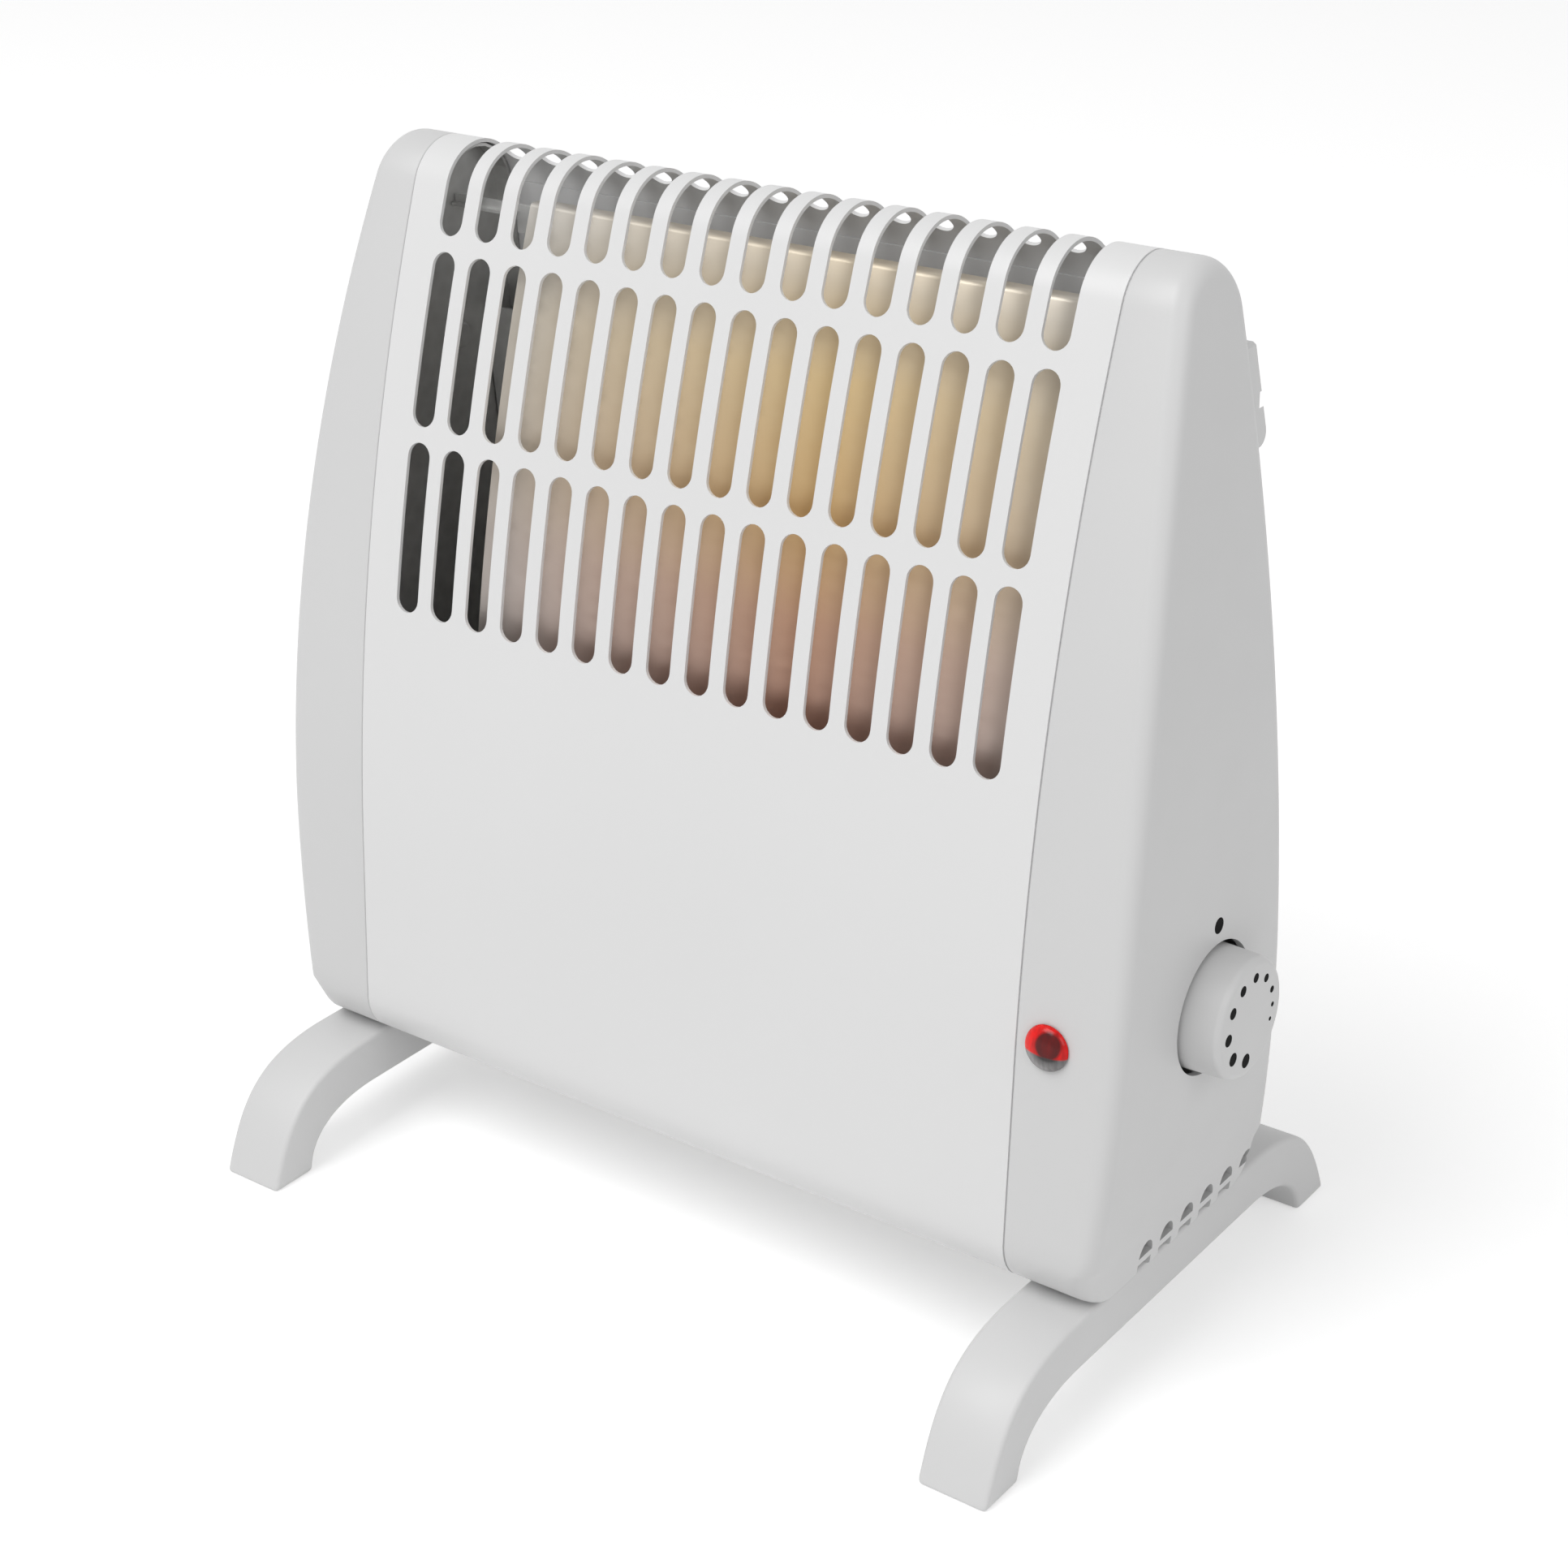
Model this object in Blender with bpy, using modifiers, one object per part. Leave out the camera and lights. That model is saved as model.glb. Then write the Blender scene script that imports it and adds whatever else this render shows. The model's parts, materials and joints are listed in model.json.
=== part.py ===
"""Small convector heater on two feet: a wrap-over slotted steel casing between two moulded end caps."""

import math

import bmesh
import bpy
from mathutils import Matrix, Vector

MM = 0.001

# Casing side view: arcs that run tangent from the base up the front, over the top and down the back
BASE_Z = 31.3 * MM
BASE_FILLET = 14.0 * MM
FRONT_Y = -43.5 * MM
FRONT_RADIUS = 640.0 * MM
FRONT_CENTRE_Z = 41.3 * MM
FRONT_LEAN = 4.8
TOP_Z = 283.3 * MM
TOP_RADIUS = 14.6 * MM
BACK_RADIUS = 12000.0 * MM
BACK_LEAN = 3.3

# Steps of each arc, front half and back half alike
FILLET_STEPS = 3
WALL_STEPS = 6
TOP_STEPS = 5

# Sheet metal
SHEET = 1.0 * MM
PLATE = 0.8 * MM
SEAT_GAP = 0.3 * MM
SEAM_X = 108.75 * MM
BASE_RETURN = 10.0 * MM

# Slots of the front panel
SLOT_PITCH = 12.5 * MM
SLOT_WIDTH = 7.8 * MM
SLOT_LENGTH = 46.6 * MM
SLOT_ROW_GAP = 4.2 * MM
SLOTS_IN_ROW = 16
LOWEST_SLOT_Z = 164.1 * MM
SLOT_BACK_ANGLE = 32.0
SLOT_END_STEPS = 4

# End caps
CAP_WALL = 2.0 * MM
CAP_CORNER = 4.8 * MM
CAP_TOE_SWELL = 4.5 * MM
CAP_BASE_CORNER = 0.8 * MM
CAP_CORNER_STEPS = 3
CAP_LEAST_CORNER = 0.3 * MM
CAP_WIDEST_X = 138.0 * MM
CAP_WIDEST_Z = 112.0 * MM
CAP_UPPER_RADIUS = 1060.0 * MM
CAP_LOWER_RADIUS = 560.0 * MM

# Posts inside each cap for the screws that hold the cap to its end plate
LOWER_POST_Z = 80.0 * MM
LOWER_POST_INSET = 14.0 * MM
UPPER_POST_Z = TOP_Z - 53.3 * MM
POST_RADIUS = 4.5 * MM

# Knob and thermostat
KNOB_Y = 4.2 * MM
KNOB_Z = 99.4 * MM
KNOB_HOLE_RADIUS = 17.7 * MM
KNOB_RADIUS = 16.5 * MM
KNOB_TIP_RADIUS = 15.9 * MM
KNOB_EDGE = 2.0 * MM
KNOB_FACE_X = 148.2 * MM
KNOB_SKIRT_X = 131.0 * MM
KNOB_WALL = 2.0 * MM
KNOB_BOSS_RADIUS = 5.5 * MM
KNOB_EDGE_STEPS = 4
SPINDLE_RADIUS = 3.0 * MM
SPINDLE_FLAT = 1.2 * MM
RUNNING_GAP = 0.3 * MM
BUSH_RADIUS = 5.0 * MM
BUSH_LENGTH = 8.0 * MM
NUT_ACROSS = 14.0 * MM
NUT_HEIGHT = 2.5 * MM
BUSH_FLANGE = 1.2 * MM
BUSH_FLANGE_RADIUS = 7.0 * MM
BRACKET_WEB_X = 120.0 * MM
BRACKET_WIDTH = 20.0 * MM
BRACKET_OPENING = 36.0 * MM
BRACKET_TAB = 8.0 * MM
STACK_WIDTH = 14.0 * MM
BLADE_LENGTH = 27.0 * MM
BLADE_WIDTH = 9.0 * MM
BLADE = 0.6 * MM
BLADE_SPACING = 3.0 * MM

# Pilot lamp in the right cap's front
LAMP_X = 117.9 * MM
LAMP_Z = 103.2 * MM
LENS_RADIUS = 6.0 * MM
LENS_DOME = 2.6 * MM
LENS_NECK_RADIUS = 5.2 * MM
LENS_WALL = 1.0 * MM
LENS_DEPTH = 12.0 * MM
LENS_DOME_STEPS = 4
NEON_RADIUS = 3.0 * MM
NEON_LENGTH = 8.0 * MM
NEON_TIP_RADIUS = 2.1 * MM
NEON_TIP = 0.9 * MM
LAMP_HOLDER = 9.0 * MM
LAMP_RING_RADIUS = 8.0 * MM
LAMP_RING = 1.5 * MM

# Cable inlet on the back of the right cap, and the terminals behind it
GLAND_X = 120.0 * MM
GLAND_Z = 62.0 * MM
GLAND_RADIUS = 7.0 * MM
GLAND_FLANGE_RADIUS = 9.5 * MM
GLAND_FLANGE = 2.0 * MM
GLAND_BORE = 3.6 * MM
GLAND_DEPTH = 10.0 * MM
TERMINAL_SHIFT = 14.0 * MM
TERMINAL_Z = 46.0 * MM
TERMINAL_SIZE = 10.0 * MM
TERMINAL_POLES = 3
TERMINAL_BORE = 1.6 * MM
WIRE_RADIUS = 1.3 * MM
CUTOUT_INSET = 19.0 * MM
CUTOUT_Z = TOP_Z - 78.3 * MM
CUTOUT_RADIUS = 8.0 * MM
CUTOUT_HEIGHT = 9.0 * MM
CUTOUT_BRIM = 3.0 * MM
LEAD_STEP = 4.0 * MM

# Side vents of the caps
VENTS = 6
VENT_PITCH = 10.2 * MM
VENT_WIDTH = 6.4 * MM
VENT_HEIGHT = 4.2 * MM
VENT_PAST_FILLET = 5.0 * MM
VENT_SILL_Z = 36.3 * MM
VENT_BAR = 4.1 * MM

# Feet
FOOT_WIDTH = 20.3 * MM
FOOT_OUTER_X = 131.0 * MM
FOOT_REACH = 86.5 * MM
FOOT_TOE = 15.0 * MM
FOOT_BEAM = 14.5 * MM
FOOT_TOP_Z = BASE_Z - SEAT_GAP
FOOT_SHOULDER_Y = 44.0 * MM
FOOT_EDGE = 1.4 * MM
FOOT_STEPS = 6
FOOT_SCREW_INSET = 8.0 * MM

# Pull of the foot's two curves, as shares of their heights: lean and climb at the floor, run at the shoulder
FOOT_OUTER_PULL = (0.24, 0.62, 0.9)
FOOT_INNER_PULL = (0.1, 0.75, 0.8)

# Screws
SCREW_RADIUS = 1.9 * MM
SCREW_HEAD_RADIUS = 3.8 * MM
SCREW_CROWN_RADIUS = 2.3 * MM
SCREW_HEAD = 2.4 * MM
FOOT_SCREW_GRIP = 6.0 * MM
REAR_SCREW_GRIP = 7.0 * MM
CAP_SCREW_GRIP = 10.0 * MM
SCREW_CLEARANCE = 0.3 * MM
REAR_SCREW_Z = (75.0 * MM, TOP_Z - 58.3 * MM)

# Wall lugs on the backs of the caps, with a leaning back face
LUG_X = 118.6 * MM
LUG_WIDTH = 10.0 * MM
LUG_STAND = 8.6 * MM
LUG_TOP_Z = TOP_Z - 25.2 * MM
LUG_HEIGHT = 28.0 * MM
LUG_LEAN = 17.0
LUG_TOE_RADIUS = 4.0 * MM
LUG_EDGE = 0.8 * MM
LUG_KEYHOLE_Z = LUG_TOP_Z - 15.1 * MM
LUG_KEYHOLE_RADIUS = 4.2 * MM
LUG_SLOT_RADIUS = 2.2 * MM
LUG_SLOT_RISE = 6.0 * MM
LUG_FLOOR = 6.6 * MM
LUG_RECESS_RADIUS = 5.4 * MM
LUG_RECESS_RISE = 3.2 * MM
LUG_STEPS = 6

# Inner parts
END_PLATE_X = 105.0 * MM
END_PLATE_FLANGE = 6.0 * MM
DEFLECTOR_DEPTH = 12.0 * MM
DEFLECTOR_LEFT_X = -66.0 * MM
DEFLECTOR_BOTTOM_Z = 146.0 * MM
DEFLECTOR_TOP_Z = TOP_Z - 17.3 * MM
DEFLECTOR_FLANGE = 5.0 * MM
DEFLECTOR_STEPS = 5
STRAP_HEIGHT = 7.0 * MM
STRAP_LAP = 6.0 * MM
SHIELD_DEPTH = 12.0 * MM
SHIELD_BOTTOM_Z = 60.0 * MM
SHIELD_TOP_Z = TOP_Z - 47.3 * MM
SHIELD_STEPS = 4
ELEMENT_RADIUS = 4.0 * MM
ELEMENT_SPACING = 26.0 * MM
ELEMENT_Z = 62.0 * MM
ELEMENT_LEFT_X = -82.0 * MM
ELEMENT_TAIL = 9.0 * MM
ELEMENT_BEND_STEPS = 10
ELEMENT_BUSH = 3.0 * MM
ELEMENT_BUSH_WALL = 2.5 * MM
SUPPORT_X = -62.0 * MM
SUPPORT_MARGIN = 9.0 * MM
SUPPORT_FOOT = 10.0 * MM

# Base grille
GRILLE_SLOTS = 14
GRILLE_SLOT_WIDTH = 7.0 * MM
GRILLE_PITCH = 14.0 * MM
GRILLE_MARGIN = 4.8 * MM
GRILLE_END_STEPS = 3

ROUND = 16
KNOB_ROUND = 32
SMALL_ROUND = 10
SMOOTH_ANGLE = 30.0
EDGE_ANGLE = 50.0
CUT_MARGIN = 5.0 * MM
MERGE = 0.01 * MM
SPLIT = 0.0001 * MM

# The whole part is centred on its own width, knob included
CENTRE_X = (KNOB_FACE_X - CAP_WIDEST_X) / 2

for old in list(bpy.data.objects):
    bpy.data.objects.remove(old, do_unlink=True)

PARTS = bpy.data.collections.new("convector_heater")
CUTTERS = bpy.data.collections.new("cutters")
CUTTERS.hide_render = True
bpy.context.scene.collection.children.link(PARTS)
bpy.context.scene.collection.children.link(CUTTERS)
ORIGIN = bpy.data.objects.new("heater_origin", None)
ORIGIN.location = (-CENTRE_X, 0, 0)
PARTS.objects.link(ORIGIN)

FINISHES = {
    "white_enamel": ((0.72, 0.72, 0.72), 0.35, 0.0),
    "white_plastic": ((0.66, 0.66, 0.67), 0.42, 0.0),
    "foot_plastic": ((0.62, 0.62, 0.63), 0.5, 0.0),
    "galvanised_steel": ((0.55, 0.56, 0.58), 0.35, 1.0),
    "element_steel": ((0.22, 0.2, 0.19), 0.45, 1.0),
    "plated_steel": ((0.6, 0.6, 0.6), 0.3, 1.0),
    "brass": ((0.75, 0.55, 0.25), 0.3, 1.0),
    "ceramic": ((0.8, 0.77, 0.7), 0.5, 0.0),
    "red_lens": ((0.75, 0.01, 0.01), 0.12, 0.0),
    "black_plastic": ((0.02, 0.02, 0.02), 0.5, 0.0),
}


def finish(name):
    """A Principled material of the named finish, made once."""
    material = bpy.data.materials.get(name)
    if material:
        return material
    colour, roughness, metallic = FINISHES[name]
    material = bpy.data.materials.new(name)
    material.use_nodes = True
    shader = material.node_tree.nodes["Principled BSDF"]
    shader.inputs["Base Color"].default_value = (*colour, 1)
    shader.inputs["Roughness"].default_value = roughness
    shader.inputs["Metallic"].default_value = metallic
    return material


def place(name, bm, material):
    """Turns a bmesh into a named part under the heater's origin."""
    bmesh.ops.recalc_face_normals(bm, faces=bm.faces)
    mesh = bpy.data.meshes.new(name)
    bm.to_mesh(mesh)
    bm.free()
    part = bpy.data.objects.new(name, mesh)
    part.data.materials.append(finish(material))
    part.parent = ORIGIN
    PARTS.objects.link(part)
    mesh.shade_smooth()
    mesh.set_sharp_from_angle(angle=math.radians(SMOOTH_ANGLE))
    return part


def cutter(name, bm):
    """Turns a bmesh into a hidden cutter under the heater's origin."""
    bmesh.ops.recalc_face_normals(bm, faces=bm.faces)
    mesh = bpy.data.meshes.new(name)
    bm.to_mesh(mesh)
    bm.free()
    tool = bpy.data.objects.new(name, mesh)
    tool.parent = ORIGIN
    tool.hide_render = True
    tool.display_type = "WIRE"
    CUTTERS.objects.link(tool)
    return tool


def cut(part, tool):
    """Cuts one tool out of a part."""
    boolean = part.modifiers.new(tool.name, "BOOLEAN")
    boolean.operation = "DIFFERENCE"
    boolean.solver = "EXACT"
    boolean.object = tool


def join(part, tool):
    """Joins one tool to a part."""
    boolean = part.modifiers.new(tool.name, "BOOLEAN")
    boolean.operation = "UNION"
    boolean.solver = "EXACT"
    boolean.object = tool


def solidify(part, thickness, offset=-1.0):
    """Gives an open surface its thickness."""
    shell = part.modifiers.new("thickness", "SOLIDIFY")
    shell.thickness = thickness
    shell.offset = offset
    shell.use_even_offset = True


def round_edges(part, width):
    """Breaks a part's sharp edges."""
    bevel = part.modifiers.new("edges", "BEVEL")
    bevel.width = width
    bevel.segments = 1
    bevel.limit_method = "ANGLE"
    bevel.angle_limit = math.radians(EDGE_ANGLE)


def to_axis(direction):
    """The turn that takes +Z to a direction."""
    return Vector((0, 0, 1)).rotation_difference(Vector(direction)).to_matrix().to_4x4()


def add_box(bm, low, high):
    """Adds a box between two corners."""
    low, high = Vector(low), Vector(high)
    size = Vector(abs(value) for value in high - low)
    matrix = Matrix.Translation((low + high) / 2) @ Matrix.Diagonal((*size, 1))
    bmesh.ops.create_cube(bm, size=1, matrix=matrix)


def add_cylinder(bm, start, end, radius, end_radius=None, segments=ROUND):
    """Adds a cylinder or a cone from one point to another."""
    start, end = Vector(start), Vector(end)
    matrix = Matrix.Translation((start + end) / 2) @ to_axis(end - start)
    bmesh.ops.create_cone(
        bm,
        cap_ends=True,
        segments=segments,
        radius1=radius,
        radius2=radius if end_radius is None else end_radius,
        depth=(end - start).length,
        matrix=matrix,
    )


def add_prism(bm, outline, shift):
    """Adds a solid whose flat outline of 3-D points is pushed along a vector."""
    face = bm.faces.new([bm.verts.new(point) for point in outline])
    pushed = bmesh.ops.extrude_face_region(bm, geom=[face])
    moved = [item for item in pushed["geom"] if isinstance(item, bmesh.types.BMVert)]
    bmesh.ops.translate(bm, vec=Vector(shift), verts=moved)


def stadium(width, length, steps=SLOT_END_STEPS):
    """Points of a slot with round ends, centred, its length along the second axis."""
    radius = width / 2
    points = []
    for turn, centre in ((0, length / 2 - radius), (math.pi, radius - length / 2)):
        for k in range(steps + 1):
            angle = turn + math.pi * k / steps
            points.append((radius * math.cos(angle), centre + radius * math.sin(angle)))
    return points


def turned(name, profile, start, direction, material, segments=ROUND, ring=False):
    """A turned solid, or a ring: (radius, height) pairs from the top of its outer side down, about a line."""
    mesh = bpy.data.meshes.new(name)
    points = [(radius, 0, height) for radius, height in profile]
    edges = [(k, k + 1) for k in range(len(points) - 1)]
    if ring:
        edges.append((len(points) - 1, 0))
    mesh.from_pydata(points, edges, [])
    part = bpy.data.objects.new(name, mesh)
    part.data.materials.append(finish(material))
    part.parent = ORIGIN
    part.matrix_local = Matrix.Translation(Vector(start)) @ to_axis(direction)
    PARTS.objects.link(part)
    screw = part.modifiers.new("turning", "SCREW")
    screw.steps = segments
    screw.render_steps = segments
    screw.use_merge_vertices = True
    screw.merge_threshold = MERGE
    return part


def tube(name, points, radius, material):
    """A closed tube along a line of points."""
    curve = bpy.data.curves.new(name, "CURVE")
    curve.dimensions = "3D"
    curve.bevel_depth = radius
    curve.bevel_resolution = 2
    curve.use_fill_caps = True
    spline = curve.splines.new("POLY")
    spline.points.add(len(points) - 1)
    for place_in_line, point in zip(spline.points, points):
        place_in_line.co = (*point, 1)
    part = bpy.data.objects.new(name, curve)
    part.data.materials.append(finish(material))
    part.parent = ORIGIN
    PARTS.objects.link(part)
    return part


# Casing outline

FILLET_Z = BASE_Z + BASE_FILLET
TOP_CENTRE_Z = TOP_Z - TOP_RADIUS
FRONT_CENTRE_Y = FRONT_Y + FRONT_RADIUS
FRONT_RISE = TOP_CENTRE_Z - FRONT_CENTRE_Z
TOP_CENTRE_Y = FRONT_CENTRE_Y - math.sqrt((FRONT_RADIUS - TOP_RADIUS) ** 2 - FRONT_RISE**2)
FRONT_TOP_ANGLE = 180 - math.degrees(math.asin(FRONT_RISE / (FRONT_RADIUS - TOP_RADIUS)))
FRONT_LOW_ANGLE = 180 - FRONT_LEAN
FRONT_REACH = FRONT_RADIUS - BASE_FILLET - math.sin(math.radians(FRONT_LEAN)) * (FILLET_Z - FRONT_CENTRE_Z)
FRONT_FILLET_Y = FRONT_CENTRE_Y - FRONT_REACH / math.cos(math.radians(FRONT_LEAN))
BACK_CENTRE_Z = FILLET_Z - (BACK_RADIUS - BASE_FILLET) * math.sin(math.radians(BACK_LEAN))
BACK_RISE = TOP_CENTRE_Z - BACK_CENTRE_Z
BACK_CENTRE_Y = TOP_CENTRE_Y - math.sqrt((BACK_RADIUS - TOP_RADIUS) ** 2 - BACK_RISE**2)
BACK_TOP_ANGLE = math.degrees(math.asin(BACK_RISE / (BACK_RADIUS - TOP_RADIUS)))
BACK_FILLET_Y = BACK_CENTRE_Y + (BACK_RADIUS - BASE_FILLET) * math.cos(math.radians(BACK_LEAN))

FRONT_FILLET = (FRONT_FILLET_Y, FILLET_Z, BASE_FILLET, 270, FRONT_LOW_ANGLE, FILLET_STEPS)
FRONT_WALL = (FRONT_CENTRE_Y, FRONT_CENTRE_Z, FRONT_RADIUS, FRONT_LOW_ANGLE, FRONT_TOP_ANGLE, WALL_STEPS)
TOP_FRONT = (TOP_CENTRE_Y, TOP_CENTRE_Z, TOP_RADIUS, FRONT_TOP_ANGLE, 90, TOP_STEPS)
TOP_BACK = (TOP_CENTRE_Y, TOP_CENTRE_Z, TOP_RADIUS, 90, BACK_TOP_ANGLE, TOP_STEPS)
BACK_WALL = (BACK_CENTRE_Y, BACK_CENTRE_Z, BACK_RADIUS, BACK_TOP_ANGLE, BACK_LEAN, WALL_STEPS + 1)
BACK_FILLET = (BACK_FILLET_Y, FILLET_Z, BASE_FILLET, BACK_LEAN, -90, FILLET_STEPS)


def stations(*arcs):
    """(centre y, centre z, radius, angle) along tangent arcs. A shared end is taken only once."""
    found = []
    for centre_y, centre_z, radius, start, end, steps in arcs:
        for k in range(steps + 1):
            angle = math.radians(start + (end - start) * k / steps)
            station = (centre_y, centre_z, radius, angle)
            if k > 0 or not found or math.dist(at(station), at(found[-1])) > MERGE:
                found.append(station)
    return found


def at(station, inset=0.0):
    """The (y, z) point of a station, set in from the outer surface."""
    centre_y, centre_z, radius, angle = station
    reach = radius - inset
    return centre_y + reach * math.cos(angle), centre_z + reach * math.sin(angle)


def return_station(fillet, shift):
    """A station on the flat base, shifted in y from a fillet's foot."""
    centre_y, centre_z, radius = fillet[:3]
    return centre_y + shift, centre_z, radius, math.radians(270)


def wall_facet(wall, height, inset=0.0):
    """The lower and the upper end of a wall's facet at a height."""
    fillet = FRONT_FILLET if wall is FRONT_WALL else BACK_FILLET
    line = sorted((at(station, inset) for station in stations(wall, fillet)), key=lambda point: point[1])
    for low, high in zip(line, line[1:]):
        if height < high[1]:
            return low, high
    return line[-2], line[-1]


def wall_point(wall, height, inset=0.0):
    """A wall's (y, z) at a height, set in from its face."""
    (y0, z0), (y1, z1) = wall_facet(wall, height, inset)
    return y0 + (y1 - y0) * (height - z0) / (z1 - z0), height


def wall_direction(wall, height):
    """Outwards from a wall at a height."""
    (y0, z0), (y1, z1) = wall_facet(wall, height)
    outwards = -1 if wall is FRONT_WALL else 1
    return Vector((0, z1 - z0, y0 - y1)).normalized() * outwards


def behind_front(height, inset):
    """The y of a piece that keeps its distance from the front wall."""
    return wall_point(FRONT_WALL, height)[0] + inset


def before_back(height, inset):
    """The y of a piece that keeps its distance from the back wall."""
    return wall_point(BACK_WALL, height)[0] - inset


def middle_y(height):
    """Halfway between the two walls at a height."""
    return (behind_front(height, 0) + before_back(height, 0)) / 2


def cap_posts():
    """The (y, z) of each post: one behind the front wall, and one halfway between the walls above."""
    lower = (behind_front(LOWER_POST_Z, LOWER_POST_INSET), LOWER_POST_Z)
    return lower, (middle_y(UPPER_POST_Z), UPPER_POST_Z)


def foot_screw_lines():
    """The y of a foot's two screws, on the flat base beside its fillets."""
    return FRONT_FILLET_Y + FOOT_SCREW_INSET, BACK_FILLET_Y - FOOT_SCREW_INSET


def cap_side(height):
    """How far out the domed side of a cap lies at a height."""
    radius = CAP_UPPER_RADIUS if height > CAP_WIDEST_Z else CAP_LOWER_RADIUS
    return CAP_WIDEST_X - radius + math.sqrt(radius**2 - (height - CAP_WIDEST_Z) ** 2)


# Sheet metal: punched flat, then folded round the casing outline


def lengths(path):
    """Running length at each station of a path, along the outer surface."""
    total = [0.0]
    for before, after in zip(path, path[1:]):
        (y0, z0), (y1, z1) = at(before), at(after)
        total.append(total[-1] + math.hypot(y1 - y0, z1 - z0))
    return total


def flat_blank(path, half_width, sheet):
    """A flat blank of a path's length, split at each fold line: x across, y along, its top at z = 0."""
    bm = bmesh.new()
    total = lengths(path)
    add_box(bm, (-half_width, 0, -sheet), (half_width, total[-1], 0))
    for line in total[1:-1]:
        geometry = bm.verts[:] + bm.edges[:] + bm.faces[:]
        bmesh.ops.bisect_plane(bm, geom=geometry, dist=SPLIT, plane_co=(0, line, 0), plane_no=(0, 1, 0))
    return bm


def fold(mesh, path):
    """Folds a flat mesh along a path: y becomes the length along it, -z the depth below its outer face."""
    total = lengths(path)
    for vertex in mesh.vertices:
        along, depth = vertex.co.y, -vertex.co.z
        k = 0
        while k < len(total) - 2 and along > total[k + 1]:
            k += 1
        share = (along - total[k]) / (total[k + 1] - total[k])
        (y0, z0), (y1, z1) = at(path[k], depth), at(path[k + 1], depth)
        vertex.co = (vertex.co.x, y0 + share * (y1 - y0), z0 + share * (z1 - z0))


def apply_cut(part, tool):
    """Cuts a tool out for good, so that the mesh can be folded afterwards."""
    cut(part, tool)
    graph = bpy.context.evaluated_depsgraph_get()
    mesh = bpy.data.meshes.new_from_object(part.evaluated_get(graph))
    part.modifiers.clear()
    part.data = mesh


def add_slot(bm, x, start, end, width, sheet):
    """Adds a punch for one slot with round ends to a bmesh, through the flat sheet."""
    middle = (start + end) / 2
    outline = [(x + u, middle + v, -CUT_MARGIN) for u, v in stadium(width, end - start)]
    add_prism(bm, outline, (0, 0, sheet + 2 * CUT_MARGIN))


def front_panel():
    """The wrap-over panel: one sheet with three rows of slots, the top row reaching over the ridge."""
    start = return_station(FRONT_FILLET, BASE_RETURN)
    path = [start] + stations(FRONT_FILLET, FRONT_WALL, TOP_FRONT, TOP_BACK)
    total = lengths(path)
    bm = flat_blank(path, SEAM_X, SHEET)
    bmesh.ops.recalc_face_normals(bm, faces=bm.faces)
    part = place("front_panel", bm, "white_enamel")
    lowest = length_at_height(path, LOWEST_SLOT_Z)
    step = SLOT_LENGTH + SLOT_ROW_GAP
    back_share = (90 - SLOT_BACK_ANGLE) / (90 - BACK_TOP_ANGLE)
    ridge = total[-1 - TOP_STEPS]
    back_end = ridge + back_share * (total[-1] - ridge)
    punch = bmesh.new()
    for number in range(SLOTS_IN_ROW):
        x = (number - (SLOTS_IN_ROW - 1) / 2) * SLOT_PITCH
        add_slot(punch, x, lowest, lowest + SLOT_LENGTH, SLOT_WIDTH, SHEET)
        add_slot(punch, x, lowest + step, lowest + step + SLOT_LENGTH, SLOT_WIDTH, SHEET)
        add_slot(punch, x, lowest + 2 * step, back_end, SLOT_WIDTH, SHEET)
    tool = cutter("slot_punch", punch)
    apply_cut(part, tool)
    fold(part.data, path)
    return part


def length_at_height(path, height):
    """Running length where a path first climbs past a height."""
    total = lengths(path)
    for k in range(len(path) - 1):
        low, high = at(path[k])[1], at(path[k + 1])[1]
        if low <= height < high:
            return total[k] + (total[k + 1] - total[k]) * (height - low) / (high - low)
    return total[-1]


def rear_panel():
    """The plain back sheet, from the end of the wrap-over panel to a return under the base."""
    path = stations(BACK_WALL, BACK_FILLET) + [return_station(BACK_FILLET, -BASE_RETURN)]
    bm = flat_blank(path, SEAM_X, SHEET)
    part = place("rear_panel", bm, "white_enamel")
    total = lengths(path)
    punch = bmesh.new()
    wide = SEAM_X + CUT_MARGIN
    add_box(punch, (-wide, -CUT_MARGIN, -CUT_MARGIN), (wide, SEAT_GAP, CUT_MARGIN))
    for side in (-1, 1):
        for height in REAR_SCREW_Z:
            along = total[-1] - length_at_height(list(reversed(path)), height)
            spot = Vector((side * rear_screw_x(), along, -CUT_MARGIN))
            add_cylinder(
                punch,
                spot,
                spot + Vector((0, 0, 2 * CUT_MARGIN)),
                SCREW_RADIUS + SCREW_CLEARANCE,
                segments=SMALL_ROUND,
            )
    apply_cut(part, cutter("rear_panel_punch", punch))
    fold(part.data, path)
    return part


def rear_screw_x():
    """Across the middle of the end plates' flanges."""
    return END_PLATE_X - END_PLATE_FLANGE / 2


def base_grille():
    """The flat air intake between the two base returns, with slots across it."""
    front = FRONT_FILLET[0] + BASE_RETURN + SEAT_GAP
    back = BACK_FILLET[0] - BASE_RETURN - SEAT_GAP
    bm = bmesh.new()
    add_box(bm, (-SEAM_X, front, BASE_Z), (SEAM_X, back, BASE_Z + SHEET))
    part = place("base_grille", bm, "galvanised_steel")
    middle = (front + back) / 2
    length = back - front - 2 * GRILLE_MARGIN
    slot = stadium(GRILLE_SLOT_WIDTH, length, GRILLE_END_STEPS)
    punch = bmesh.new()
    for number in range(GRILLE_SLOTS):
        x = (number - (GRILLE_SLOTS - 1) / 2) * GRILLE_PITCH
        outline = [(x + u, middle + v, BASE_Z - CUT_MARGIN) for u, v in slot]
        add_prism(punch, outline, (0, 0, 2 * CUT_MARGIN))
    cut(part, cutter("grille_punch", punch))
    return part


# End caps


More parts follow.
